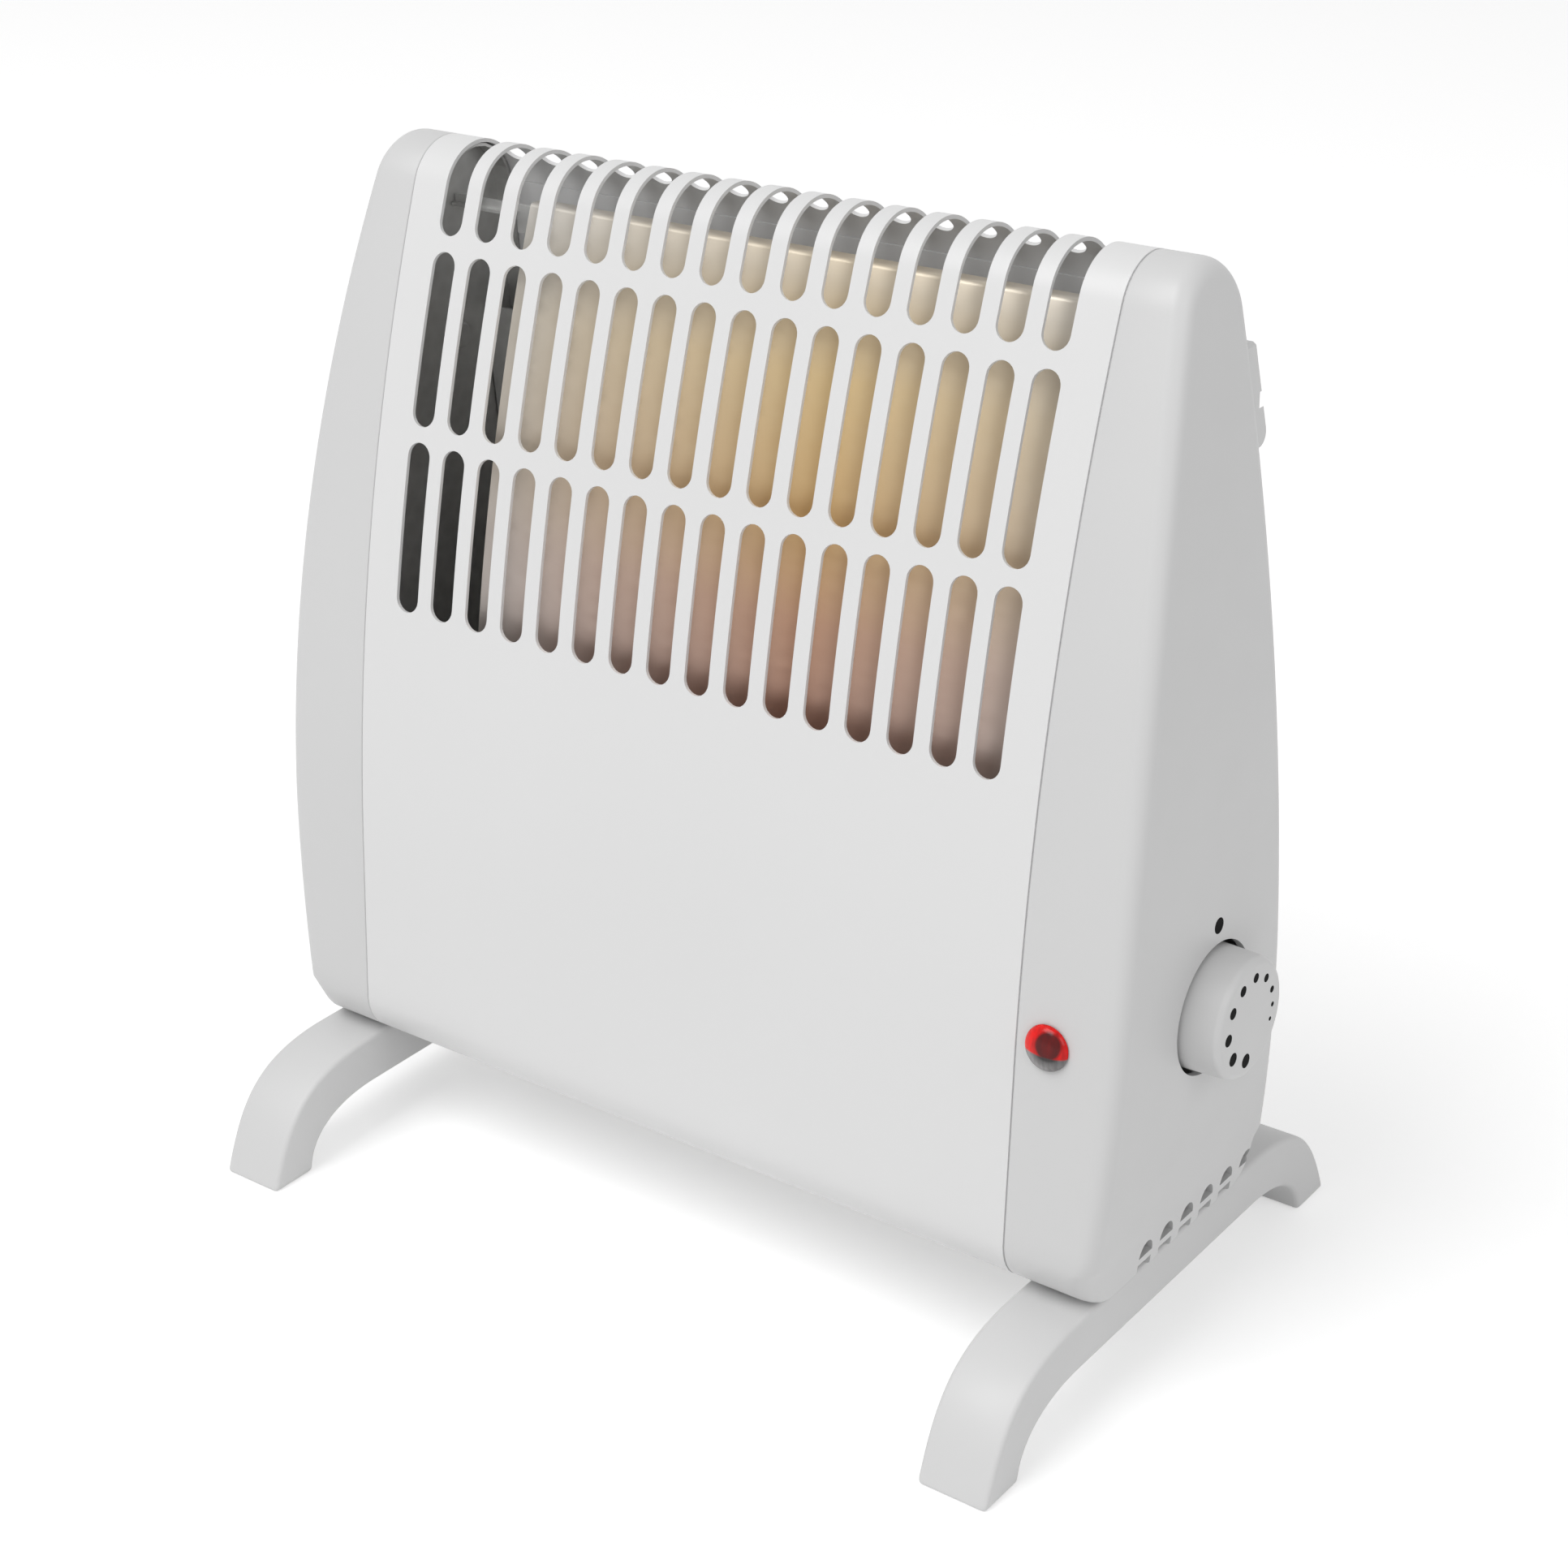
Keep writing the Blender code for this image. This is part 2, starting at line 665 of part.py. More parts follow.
def cap_rings(inset):
    """Chains of points, front and back, for each ring of a cap's surface that lies a wall's inset in."""
    front = stations(FRONT_FILLET, FRONT_WALL, TOP_FRONT)
    back = list(reversed(stations(TOP_BACK, BACK_WALL, BACK_FILLET)))
    seam = SEAM_X + SEAT_GAP
    rings = [[[(seam, *at(station, inset)) for station in chain] for chain in (front, back)]]
    for k in range(CAP_CORNER_STEPS + 1):
        turn = math.pi / 2 * k / CAP_CORNER_STEPS
        pair = []
        for chain in (front, back):
            points = []
            for station in chain:
                corner = max(cap_corner(station) - inset, CAP_LEAST_CORNER)
                y, z = at(station, inset + corner * (1 - math.cos(turn)))
                points.append((cap_side(z) - inset - corner * (1 - math.sin(turn)), y, z))
            pair.append(points)
        rings.append(pair)
    return rings


def cap_corner(station):
    """The cap's corner radius: even along the walls and top, larger halfway round the fillets, least below."""
    fall = max(0, -math.sin(station[3]))
    return CAP_CORNER - (CAP_CORNER - CAP_BASE_CORNER) * fall + 4 * CAP_TOE_SWELL * fall * (1 - fall)


def add_cap_surface(bm, side, inset):
    """Adds one surface of a cap: rings from the seam round the corner, then the side. Gives its open rim."""
    loops = []
    for front, back in cap_rings(inset):
        front_line = [bm.verts.new((side * x, y, z)) for x, y, z in front]
        back_line = front_line[-1:] + [bm.verts.new((side * x, y, z)) for x, y, z in reversed(back[:-1])]
        loops.append((front_line, list(reversed(back_line))))
    for (front0, back0), (front1, back1) in zip(loops, loops[1:]):
        ring0 = front0 + list(reversed(back0))[1:]
        ring1 = front1 + list(reversed(back1))[1:]
        for k in range(len(ring0)):
            j = (k + 1) % len(ring0)
            bm.faces.new((ring0[k], ring0[j], ring1[j], ring1[k]))
    front, back = loops[-1]
    for k in range(len(front) - 2):
        bm.faces.new((front[k], back[k], back[k + 1], front[k + 1]))
    bm.faces.new((front[-2], back[-2], front[-1]))
    front, back = loops[0]
    return front + list(reversed(back))[1:]


def cap_shell(side):
    """A cap's outer and inner surfaces, joined at the seam."""
    bm = bmesh.new()
    outer = add_cap_surface(bm, side, 0.0)
    inner = add_cap_surface(bm, side, CAP_WALL)
    for k in range(len(outer)):
        j = (k + 1) % len(outer)
        bm.faces.new((outer[k], outer[j], inner[j], inner[k]))
    return bm


def end_cap(name, side):
    """A moulded cap: a hollow shell with vents low on its side and posts for its screws."""
    part = place(name, cap_shell(side), "white_plastic")
    posts = bmesh.new()
    bores = bmesh.new()
    for y, z in cap_posts():
        start = Vector((side * (END_PLATE_X + SEAT_GAP), y, z))
        end = Vector((side * (cap_side(z) - CAP_WALL / 2), y, z))
        add_cylinder(posts, start, end, POST_RADIUS, segments=SMALL_ROUND)
        deep = start + Vector((side * (CAP_SCREW_GRIP + SCREW_RADIUS), 0, 0))
        bore = SCREW_RADIUS + SCREW_CLEARANCE
        add_cylinder(bores, start - Vector((side * CUT_MARGIN, 0, 0)), deep, bore, segments=SMALL_ROUND)
    join(part, cutter(name + "_posts", posts))
    cut(part, cutter(name + "_bores", bores))
    punch = bmesh.new()
    add_vents(punch, side)
    for y in foot_screw_lines():
        spot = Vector((side * foot_middle_x(), y, BASE_Z))
        reach = Vector((0, 0, CUT_MARGIN))
        add_cylinder(punch, spot - reach, spot + reach, SCREW_RADIUS + SCREW_CLEARANCE, segments=SMALL_ROUND)
    if side > 0:
        spot = Vector((cap_side(KNOB_Z), KNOB_Y, KNOB_Z))
        reach = Vector((CAP_WALL + CUT_MARGIN, 0, 0))
        add_cylinder(punch, spot - reach, spot + reach, KNOB_HOLE_RADIUS, segments=KNOB_ROUND)
        direction = lamp_direction()
        spot = lamp_spot()
        add_cylinder(
            punch,
            spot - direction * (CAP_WALL + CUT_MARGIN),
            spot + direction * CUT_MARGIN,
            LENS_NECK_RADIUS + SEAT_GAP,
        )
        spot = gland_spot()
        reach = gland_direction() * (CAP_WALL + CUT_MARGIN)
        add_cylinder(punch, spot - reach, spot + reach, GLAND_RADIUS + SEAT_GAP)
    cut(part, cutter(name + "_punch", punch))
    return part


def add_vents(bm, side):
    """Half-round vents over a bar, and flat ones below it that stop short of the back fillet."""
    low_x = foot_middle_x() + CUT_MARGIN
    shift = (side * (CAP_WIDEST_X - low_x + CUT_MARGIN), 0, 0)
    for number in range(VENTS):
        y = BACK_FILLET_Y + VENT_PAST_FILLET - number * VENT_PITCH
        arch = []
        for k in range(SLOT_END_STEPS + 2):
            angle = math.pi * k / (SLOT_END_STEPS + 1)
            rise = VENT_HEIGHT * math.sin(angle)
            arch.append((side * low_x, y + VENT_WIDTH / 2 * math.cos(angle), VENT_SILL_Z + rise))
        add_prism(bm, arch, shift)
        if y + VENT_WIDTH / 2 > BACK_FILLET_Y:
            continue
        edge_x = side * (cap_side(BASE_Z) - CAP_WALL - SEAT_GAP)
        low = Vector((edge_x, y - VENT_WIDTH / 2, BASE_Z - CUT_MARGIN))
        high = Vector((edge_x + shift[0], y + VENT_WIDTH / 2, VENT_SILL_Z - VENT_BAR))
        add_box(bm, low, high)


# Feet


def bezier(p0, p1, p2, p3, steps):
    """Points of a cubic curve, its last point left out."""
    points = []
    for k in range(steps):
        t = k / steps
        weights = ((1 - t) ** 3, 3 * t * (1 - t) ** 2, 3 * t * t * (1 - t), t**3)
        x = sum(w * p[0] for w, p in zip(weights, (p0, p1, p2, p3)))
        y = sum(w * p[1] for w, p in zip(weights, (p0, p1, p2, p3)))
        points.append((x, y))
    return points


def foot_middle_x():
    """The middle of a foot's width."""
    return FOOT_OUTER_X - FOOT_WIDTH / 2


def foot(name, side):
    """An arched foot: two toes on the floor and a straight beam that the cap stands on."""
    reach, shoulder, top = FOOT_REACH, FOOT_SHOULDER_Y, FOOT_TOP_Z
    inner = reach - FOOT_TOE
    under = top - FOOT_BEAM
    lean, climb, run = FOOT_OUTER_PULL
    first = (reach - lean * top, climb * top)
    second = (shoulder + run * top, top)
    outer_curve = bezier((reach, 0), first, second, (shoulder, top), FOOT_STEPS)
    lean, climb, run = FOOT_INNER_PULL
    first = (inner - lean * under, climb * under)
    second = (shoulder + run * under, under)
    inner_curve = bezier((inner, 0), first, second, (shoulder, under), FOOT_STEPS)
    half = outer_curve + [(shoulder, top)]
    other = [(-y, z) for y, z in reversed(half)]
    lower = inner_curve + [(shoulder, under)]
    other_lower = [(-y, z) for y, z in reversed(lower)]
    outline = half + other + list(reversed(other_lower)) + list(reversed(lower))
    low_x = side * (FOOT_OUTER_X - FOOT_WIDTH)
    bm = bmesh.new()
    add_prism(bm, [(low_x, y, z) for y, z in outline], (side * FOOT_WIDTH, 0, 0))
    part = place(name, bm, "foot_plastic")
    round_edges(part, FOOT_EDGE)
    bores = bmesh.new()
    recesses = bmesh.new()
    for y in foot_screw_lines():
        low = Vector((side * foot_middle_x(), y, under - CUT_MARGIN))
        high = low + Vector((0, 0, FOOT_BEAM + 2 * CUT_MARGIN))
        seat = low + Vector((0, 0, CUT_MARGIN + SCREW_HEAD + SCREW_CLEARANCE))
        add_cylinder(bores, low, high, SCREW_RADIUS + SCREW_CLEARANCE, segments=SMALL_ROUND)
        add_cylinder(recesses, low, seat, SCREW_HEAD_RADIUS + SCREW_CLEARANCE, segments=SMALL_ROUND)
    cut(part, cutter(name + "_bores", bores))
    cut(part, cutter(name + "_recesses", recesses))
    return part


def gland_direction():
    """Outwards from the back wall at the cable inlet."""
    return wall_direction(BACK_WALL, GLAND_Z)


def gland_spot():
    """The middle of the cable inlet on the back of the right cap."""
    return Vector((GLAND_X, *wall_point(BACK_WALL, GLAND_Z)))


def lamp_direction():
    """Outwards from the front wall at the lamp's height."""
    return wall_direction(FRONT_WALL, LAMP_Z)


def lamp_spot():
    """The lamp's middle on the front of the right cap."""
    return Vector((LAMP_X, *wall_point(FRONT_WALL, LAMP_Z)))


# Knob and thermostat


def on_knob_axis(x):
    """A point of the knob's axis."""
    return Vector((x, KNOB_Y, KNOB_Z))


def knob():
    """A hollow knob: a tapered skirt that dips into the cap, a rounded edge and a bored boss."""
    height = KNOB_FACE_X - KNOB_SKIRT_X
    profile = [(0, height)]
    for k in range(KNOB_EDGE_STEPS + 1):
        angle = math.pi / 2 * (1 - k / KNOB_EDGE_STEPS)
        radius = KNOB_TIP_RADIUS - KNOB_EDGE + KNOB_EDGE * math.cos(angle)
        profile.append((radius, height - KNOB_EDGE + KNOB_EDGE * math.sin(angle)))
    ceiling = height - KNOB_WALL
    profile += [
        (KNOB_RADIUS, 0),
        (KNOB_RADIUS - KNOB_WALL, 0),
        (KNOB_TIP_RADIUS - KNOB_WALL, ceiling - KNOB_WALL),
        (KNOB_TIP_RADIUS - 2 * KNOB_WALL, ceiling),
        (KNOB_BOSS_RADIUS, ceiling),
        (KNOB_BOSS_RADIUS, KNOB_WALL),
        (0, KNOB_WALL),
    ]
    start = on_knob_axis(KNOB_SKIRT_X)
    part = turned("thermostat_knob", profile, start, (1, 0, 0), "white_plastic", KNOB_ROUND)
    punch = bmesh.new()
    radius = SPINDLE_RADIUS + SEAT_GAP
    rise = math.asin((SPINDLE_RADIUS - SPINDLE_FLAT + SEAT_GAP) / radius)
    outline = []
    for k in range(SMALL_ROUND + 1):
        angle = math.pi - rise + (math.pi + 2 * rise) * k / SMALL_ROUND
        y = KNOB_Y + radius * math.cos(angle)
        outline.append((KNOB_SKIRT_X, y, KNOB_Z + radius * math.sin(angle)))
    add_prism(punch, outline, (spindle_end_x() + SEAT_GAP - KNOB_SKIRT_X, 0, 0))
    cut(part, cutter("knob_bore", punch))
    return part


def spindle_end_x():
    """Where the spindle ends inside the knob."""
    return KNOB_FACE_X - 2 * KNOB_WALL


def spindle():
    """The knob's spindle, with a flat at its outer end."""
    end = spindle_end_x()
    bm = bmesh.new()
    add_cylinder(bm, (contact_blade_x() + SEAT_GAP, KNOB_Y, KNOB_Z), (end, KNOB_Y, KNOB_Z), SPINDLE_RADIUS)
    bmesh.ops.translate(bm, vec=-on_knob_axis(0), verts=bm.verts)
    part = place("thermostat_spindle", bm, "brass")
    part.location = on_knob_axis(0)
    punch = bmesh.new()
    low = (KNOB_SKIRT_X, KNOB_Y - SPINDLE_RADIUS - CUT_MARGIN, KNOB_Z + SPINDLE_RADIUS - SPINDLE_FLAT)
    high = (end + CUT_MARGIN, KNOB_Y + SPINDLE_RADIUS + CUT_MARGIN, KNOB_Z + SPINDLE_RADIUS + CUT_MARGIN)
    add_box(punch, low, high)
    cut(part, cutter("spindle_flat", punch))
    return part


def contact_blade_x():
    """The outer face of the blade that the spindle presses."""
    return END_PLATE_X + 2 * BLADE_SPACING + BLADE


def thermostat():
    """The thermostat in the right cap: bracket, bush, nut, blade stack and its two blades."""
    web = BRACKET_WEB_X
    base = END_PLATE_X + SEAT_GAP
    half = BRACKET_OPENING / 2
    path = [
        (base + PLATE, KNOB_Z + half + BRACKET_TAB),
        (base + PLATE, KNOB_Z + half),
        (web + PLATE, KNOB_Z + half),
        (web + PLATE, KNOB_Z - half),
        (base + PLATE, KNOB_Z - half),
        (base + PLATE, KNOB_Z - half - BRACKET_TAB),
    ]
    bm = bmesh.new()
    low_y = KNOB_Y - BRACKET_WIDTH / 2
    line = [bm.verts.new((x, low_y, z)) for x, z in path]
    edges = [bm.edges.new(pair) for pair in zip(line, line[1:])]
    pushed = bmesh.ops.extrude_edge_only(bm, edges=edges)
    moved = [item for item in pushed["geom"] if isinstance(item, bmesh.types.BMVert)]
    bmesh.ops.translate(bm, vec=(0, BRACKET_WIDTH, 0), verts=moved)
    bracket = place("thermostat_bracket", bm, "plated_steel")
    solidify(bracket, PLATE, bracket_offset(bracket))
    punch = bmesh.new()
    add_cylinder(punch, on_knob_axis(web - CUT_MARGIN), on_knob_axis(web + CUT_MARGIN), BUSH_RADIUS + SEAT_GAP)
    cut(bracket, cutter("thermostat_bracket_punch", punch))

    bore = SPINDLE_RADIUS + RUNNING_GAP
    start = web - SEAT_GAP - BUSH_FLANGE
    reach = BUSH_FLANGE + SEAT_GAP + PLATE + BUSH_LENGTH
    profile = [
        (bore, reach),
        (BUSH_RADIUS, reach),
        (BUSH_RADIUS, BUSH_FLANGE),
        (BUSH_FLANGE_RADIUS, BUSH_FLANGE),
        (BUSH_FLANGE_RADIUS, 0),
        (bore, 0),
    ]
    turned("thermostat_bush", profile, on_knob_axis(start), (1, 0, 0), "brass", ring=True)

    nut = bmesh.new()
    nut_start = web + PLATE + SEAT_GAP
    radius = NUT_ACROSS / math.sqrt(3)
    add_cylinder(nut, on_knob_axis(nut_start), on_knob_axis(nut_start + NUT_HEIGHT), radius, segments=6)
    nut_part = place("thermostat_nut", nut, "plated_steel")
    hole = bmesh.new()
    add_cylinder(
        hole,
        on_knob_axis(nut_start - CUT_MARGIN),
        on_knob_axis(nut_start + NUT_HEIGHT + CUT_MARGIN),
        BUSH_RADIUS + SEAT_GAP,
    )
    cut(nut_part, cutter("thermostat_nut_hole", hole))

    stack_top = KNOB_Z - BUSH_FLANGE_RADIUS - SEAT_GAP
    stack_low = KNOB_Z - half + PLATE + SEAT_GAP
    stack = bmesh.new()
    add_box(
        stack,
        (base, KNOB_Y - STACK_WIDTH / 2, stack_low),
        (web - SEAT_GAP, KNOB_Y + STACK_WIDTH / 2, stack_top),
    )
    stack_part = place("thermostat_stack", stack, "ceramic")
    slots = bmesh.new()
    outer = contact_blade_x()
    for name, high_x in (("thermostat_contact_blade", outer), ("thermostat_bimetal", outer - BLADE_SPACING)):
        half_width = BLADE_WIDTH / 2
        low = Vector((high_x - BLADE, KNOB_Y - half_width, stack_low + SEAT_GAP))
        high = Vector((high_x, KNOB_Y + half_width, stack_low + SEAT_GAP + BLADE_LENGTH))
        blade = bmesh.new()
        add_box(blade, low, high)
        place(name, blade, "brass" if name.endswith("blade") else "plated_steel")
        room = Vector((SEAT_GAP, SEAT_GAP, SEAT_GAP))
        add_box(slots, low - room + Vector((0, 0, SEAT_GAP)), high + room)
    cut(stack_part, cutter("thermostat_stack_slots", slots))


def bracket_offset(bracket):
    """The side on which the bracket's thickness lies: below the web's outer face."""
    web_face = max(bracket.data.polygons, key=lambda face: face.center.x)
    return -1.0 if web_face.normal.x > 0 else 1.0


# Pilot lamp, cable inlet and terminals


def lamp():
    """The pilot lamp: a domed lens through the cap, its neon tube, holder and push-on ring."""
    direction = lamp_direction()
    spot = lamp_spot()
    profile = [(0, SEAT_GAP + LENS_DOME)]
    for k in range(1, LENS_DOME_STEPS + 1):
        angle = math.pi / 2 * (1 - k / LENS_DOME_STEPS)
        profile.append((LENS_RADIUS * math.cos(angle), SEAT_GAP + LENS_DOME * math.sin(angle)))
    inner = LENS_NECK_RADIUS - LENS_WALL
    profile += [
        (LENS_NECK_RADIUS, SEAT_GAP),
        (LENS_NECK_RADIUS, -LENS_DEPTH),
        (inner, -LENS_DEPTH),
        (inner, -LENS_WALL),
        (0, -LENS_WALL),
    ]
    turned("lamp_lens", profile, spot, direction, "red_lens")
    neon = [
        (0, NEON_LENGTH),
        (NEON_TIP_RADIUS, NEON_LENGTH - NEON_TIP),
        (NEON_RADIUS, NEON_LENGTH - NEON_RADIUS),
        (NEON_RADIUS, 0),
        (0, 0),
    ]
    turned("lamp_neon", neon, spot - direction * LENS_DEPTH, direction, "ceramic", SMALL_ROUND)
    holder = [(0, LAMP_HOLDER), (LENS_NECK_RADIUS, LAMP_HOLDER), (LENS_NECK_RADIUS, 0), (0, 0)]
    holder_start = spot - direction * (LENS_DEPTH + SEAT_GAP + LAMP_HOLDER)
    turned("lamp_holder", holder, holder_start, direction, "black_plastic")
    hole = LENS_NECK_RADIUS + SEAT_GAP
    washer = [(hole, LAMP_RING), (LAMP_RING_RADIUS, LAMP_RING), (LAMP_RING_RADIUS, 0), (hole, 0)]
    washer_start = spot - direction * (CAP_WALL + SEAT_GAP + LAMP_RING)
    turned("lamp_ring", washer, washer_start, direction, "plated_steel", ring=True)


def cable_gland():
    """The bored bush of the cable inlet, flanged outside the cap."""
    top = SEAT_GAP + GLAND_FLANGE
    profile = [
        (GLAND_BORE, top),
        (GLAND_FLANGE_RADIUS - GLAND_FLANGE / 2, top),
        (GLAND_FLANGE_RADIUS, SEAT_GAP + GLAND_FLANGE / 2),
        (GLAND_FLANGE_RADIUS, SEAT_GAP),
        (GLAND_RADIUS, SEAT_GAP),
        (GLAND_RADIUS, -GLAND_DEPTH),
        (GLAND_BORE, -GLAND_DEPTH),
    ]
    turned("cable_gland", profile, gland_spot(), gland_direction(), "white_plastic", ring=True)


def terminal_y(number):
    """The y of one terminal, counted from the front."""
    middle = middle_y(TERMINAL_Z) + TERMINAL_SHIFT
    return middle + (number - (TERMINAL_POLES - 1) / 2) * TERMINAL_SIZE


def terminal_block():
    """A row of bored poles on the right end plate."""
    low_x = END_PLATE_X + SEAT_GAP
    half = TERMINAL_SIZE / 2
    bm = bmesh.new()
    add_box(
        bm,
        (low_x, terminal_y(0) - half, TERMINAL_Z - half),
        (low_x + TERMINAL_SIZE, terminal_y(TERMINAL_POLES - 1) + half, TERMINAL_Z + half),
    )
    part = place("terminal_block", bm, "ceramic")
    punch = bmesh.new()
    for number in range(TERMINAL_POLES):
        spot = Vector((low_x + half, terminal_y(number), TERMINAL_Z))
        reach = Vector((0, 0, half + CUT_MARGIN))
        add_cylinder(punch, spot - reach, spot + reach, TERMINAL_BORE, segments=SMALL_ROUND)
    cut(part, cutter("terminal_bores", punch))


def thermal_cutout():
    """The overheat cut-out, a disc thermostat on the outer face of the right end plate."""
    face = END_PLATE_X + SEAT_GAP
    profile = [
        (0, CUTOUT_HEIGHT),
        (CUTOUT_RADIUS - PLATE, CUTOUT_HEIGHT),
        (CUTOUT_RADIUS - PLATE, CUTOUT_BRIM),
        (CUTOUT_RADIUS, CUTOUT_BRIM),
        (CUTOUT_RADIUS, 0),
        (0, 0),
    ]
    turned("thermal_cutout", profile, (face, cutout_y(), CUTOUT_Z), (1, 0, 0), "black_plastic")


def cutout_y():
    """The y of the cut-out's middle."""
    return before_back(CUTOUT_Z, CUTOUT_INSET)


def wires():
    """The leads inside the right cap."""
    middle_x = END_PLATE_X + SEAT_GAP + TERMINAL_SIZE / 2
    poles = [terminal_y(number) for number in range(TERMINAL_POLES)]
    front, back = element_lines()
    tail = END_PLATE_X + ELEMENT_TAIL + SEAT_GAP
    stack_side = STACK_WIDTH / 2 + SEAT_GAP
    stack_z = KNOB_Z - BRACKET_OPENING / 2 + BRACKET_TAB
    step = LEAD_STEP
    lead = [
        (middle_x, poles[0], TERMINAL_Z),
        (middle_x, poles[0], ELEMENT_Z + step),
        (middle_x, KNOB_Y + BRACKET_WIDTH / 2 + step, stack_z - 3 * step),
        (middle_x, KNOB_Y + stack_side + 2 * step, stack_z - step),
        (middle_x, KNOB_Y + stack_side + step, stack_z),
        (middle_x, KNOB_Y + stack_side, stack_z),
    ]
    tube("lead_to_thermostat", lead, WIRE_RADIUS, "black_plastic")
    lead = [
        (middle_x, poles[1], TERMINAL_Z),
        (middle_x, poles[1], TERMINAL_Z + 2 * step),
        (tail + step, poles[1], ELEMENT_Z - step),
        (tail + step, back, ELEMENT_Z),
        (tail, back, ELEMENT_Z),
    ]
    tube("lead_to_element", lead, WIRE_RADIUS, "white_plastic")
    lead = [
        (middle_x - step / 2, KNOB_Y - stack_side, stack_z),
        (middle_x - step / 2, KNOB_Y - stack_side - step, stack_z),
        (middle_x - step / 2, KNOB_Y - stack_side - step, KNOB_Z + 8 * step),
        (middle_x - step / 2, cutout_y(), CUTOUT_Z - 4 * step),
        (middle_x - step / 2, cutout_y(), CUTOUT_Z - CUTOUT_RADIUS - SEAT_GAP),
    ]
    tube("lead_to_cutout", lead, WIRE_RADIUS, "black_plastic")
    lead = [
        (middle_x - step / 2, cutout_y() - CUTOUT_RADIUS - SEAT_GAP, CUTOUT_Z),
        (middle_x - step / 2, cutout_y() - CUTOUT_RADIUS - step, CUTOUT_Z),
        (middle_x, cutout_y() - CUTOUT_RADIUS - 2 * step, CUTOUT_Z - step),
        (middle_x + step / 2, front, KNOB_Z + 10 * step),
        (middle_x + step / 2, front, KNOB_Z - 2 * step),
        (tail + step, front, ELEMENT_Z + 2 * step),
        (tail + step, front, ELEMENT_Z),
        (tail, front, ELEMENT_Z),
    ]
    tube("lead_from_cutout", lead, WIRE_RADIUS, "white_plastic")
    lamp_end = lamp_spot() - lamp_direction() * (LENS_DEPTH + LAMP_HOLDER + 2 * SEAT_GAP)
    lead = [
        tuple(lamp_end),
        tuple(lamp_end - lamp_direction() * step),
        (LAMP_X + 2 * step, front - step, ELEMENT_Z + 6 * step),
        (LAMP_X + 2 * step, KNOB_Y, ELEMENT_Z + 2 * step),
        (LAMP_X + step, poles[2], ELEMENT_Z),
        (middle_x, poles[2], TERMINAL_Z + 2 * step),
        (middle_x, poles[2], TERMINAL_Z),
    ]
    tube("lead_to_lamp", lead, WIRE_RADIUS, "black_plastic")


# Plates, deflector and heating element


def end_plate(name, side):
    """A pressed plate that closes the casing's end, with a flange inside the sheet."""
    inset = SHEET + SEAT_GAP
    chain = stations(FRONT_FILLET, FRONT_WALL, TOP_FRONT, TOP_BACK, BACK_WALL, BACK_FILLET)
    bm = bmesh.new()
    rim = [bm.verts.new((side * END_PLATE_X, *at(station, inset))) for station in chain]
    bm.faces.new(rim)
    edges = bm.edges[:]
    pushed = bmesh.ops.extrude_edge_only(bm, edges=edges)
    moved = [item for item in pushed["geom"] if isinstance(item, bmesh.types.BMVert)]
    bmesh.ops.translate(bm, vec=(-side * END_PLATE_FLANGE, 0, 0), verts=moved)
    part = place(name, bm, "galvanised_steel")
    solidify(part, PLATE)
    punch = bmesh.new()
    if side > 0:
        for y in element_lines():
            spot = Vector((END_PLATE_X, y, ELEMENT_Z))
            reach = Vector((CUT_MARGIN, 0, 0))
            add_cylinder(punch, spot - reach, spot + reach, element_hole())
    for y, z in cap_posts():
        spot = Vector((side * END_PLATE_X, y, z))
        reach = Vector((CUT_MARGIN, 0, 0))
        add_cylinder(punch, spot - reach, spot + reach, SCREW_RADIUS + SCREW_CLEARANCE, segments=SMALL_ROUND)
    for height in REAR_SCREW_Z:
        spot = Vector((side * rear_screw_x(), *wall_point(BACK_WALL, height)))
        reach = wall_direction(BACK_WALL, height) * CUT_MARGIN
        add_cylinder(punch, spot - reach, spot + reach, SCREW_RADIUS + SCREW_CLEARANCE, segments=SMALL_ROUND)
    cut(part, cutter(name + "_punch", punch))


def element_lines():
    """The y of the element's two legs."""
    return middle_y(ELEMENT_Z) - ELEMENT_SPACING / 2, middle_y(ELEMENT_Z) + ELEMENT_SPACING / 2


def element_hole():
    """Radius of the holes that the element's bushes sit in."""
    return ELEMENT_RADIUS + SEAT_GAP + ELEMENT_BUSH_WALL / 2 + SEAT_GAP


def inner_x():
    """How far a plate between the two end plates may reach."""
    return END_PLATE_X - PLATE - SEAT_GAP


def bent_sheet(name, path, low_x, high_x, material):
    """A thin sheet: a (y, z) path pushed along x and thickened away from the casing."""
    bm = bmesh.new()
    line = [bm.verts.new((low_x, y, z)) for y, z in path]
    edges = [bm.edges.new(pair) for pair in zip(line, line[1:])]
    pushed = bmesh.ops.extrude_edge_only(bm, edges=edges)
    moved = [item for item in pushed["geom"] if isinstance(item, bmesh.types.BMVert)]
    bmesh.ops.translate(bm, vec=(high_x - low_x, 0, 0), verts=moved)
    part = place(name, bm, material)
    solidify(part, PLATE, 0.0)
    return part


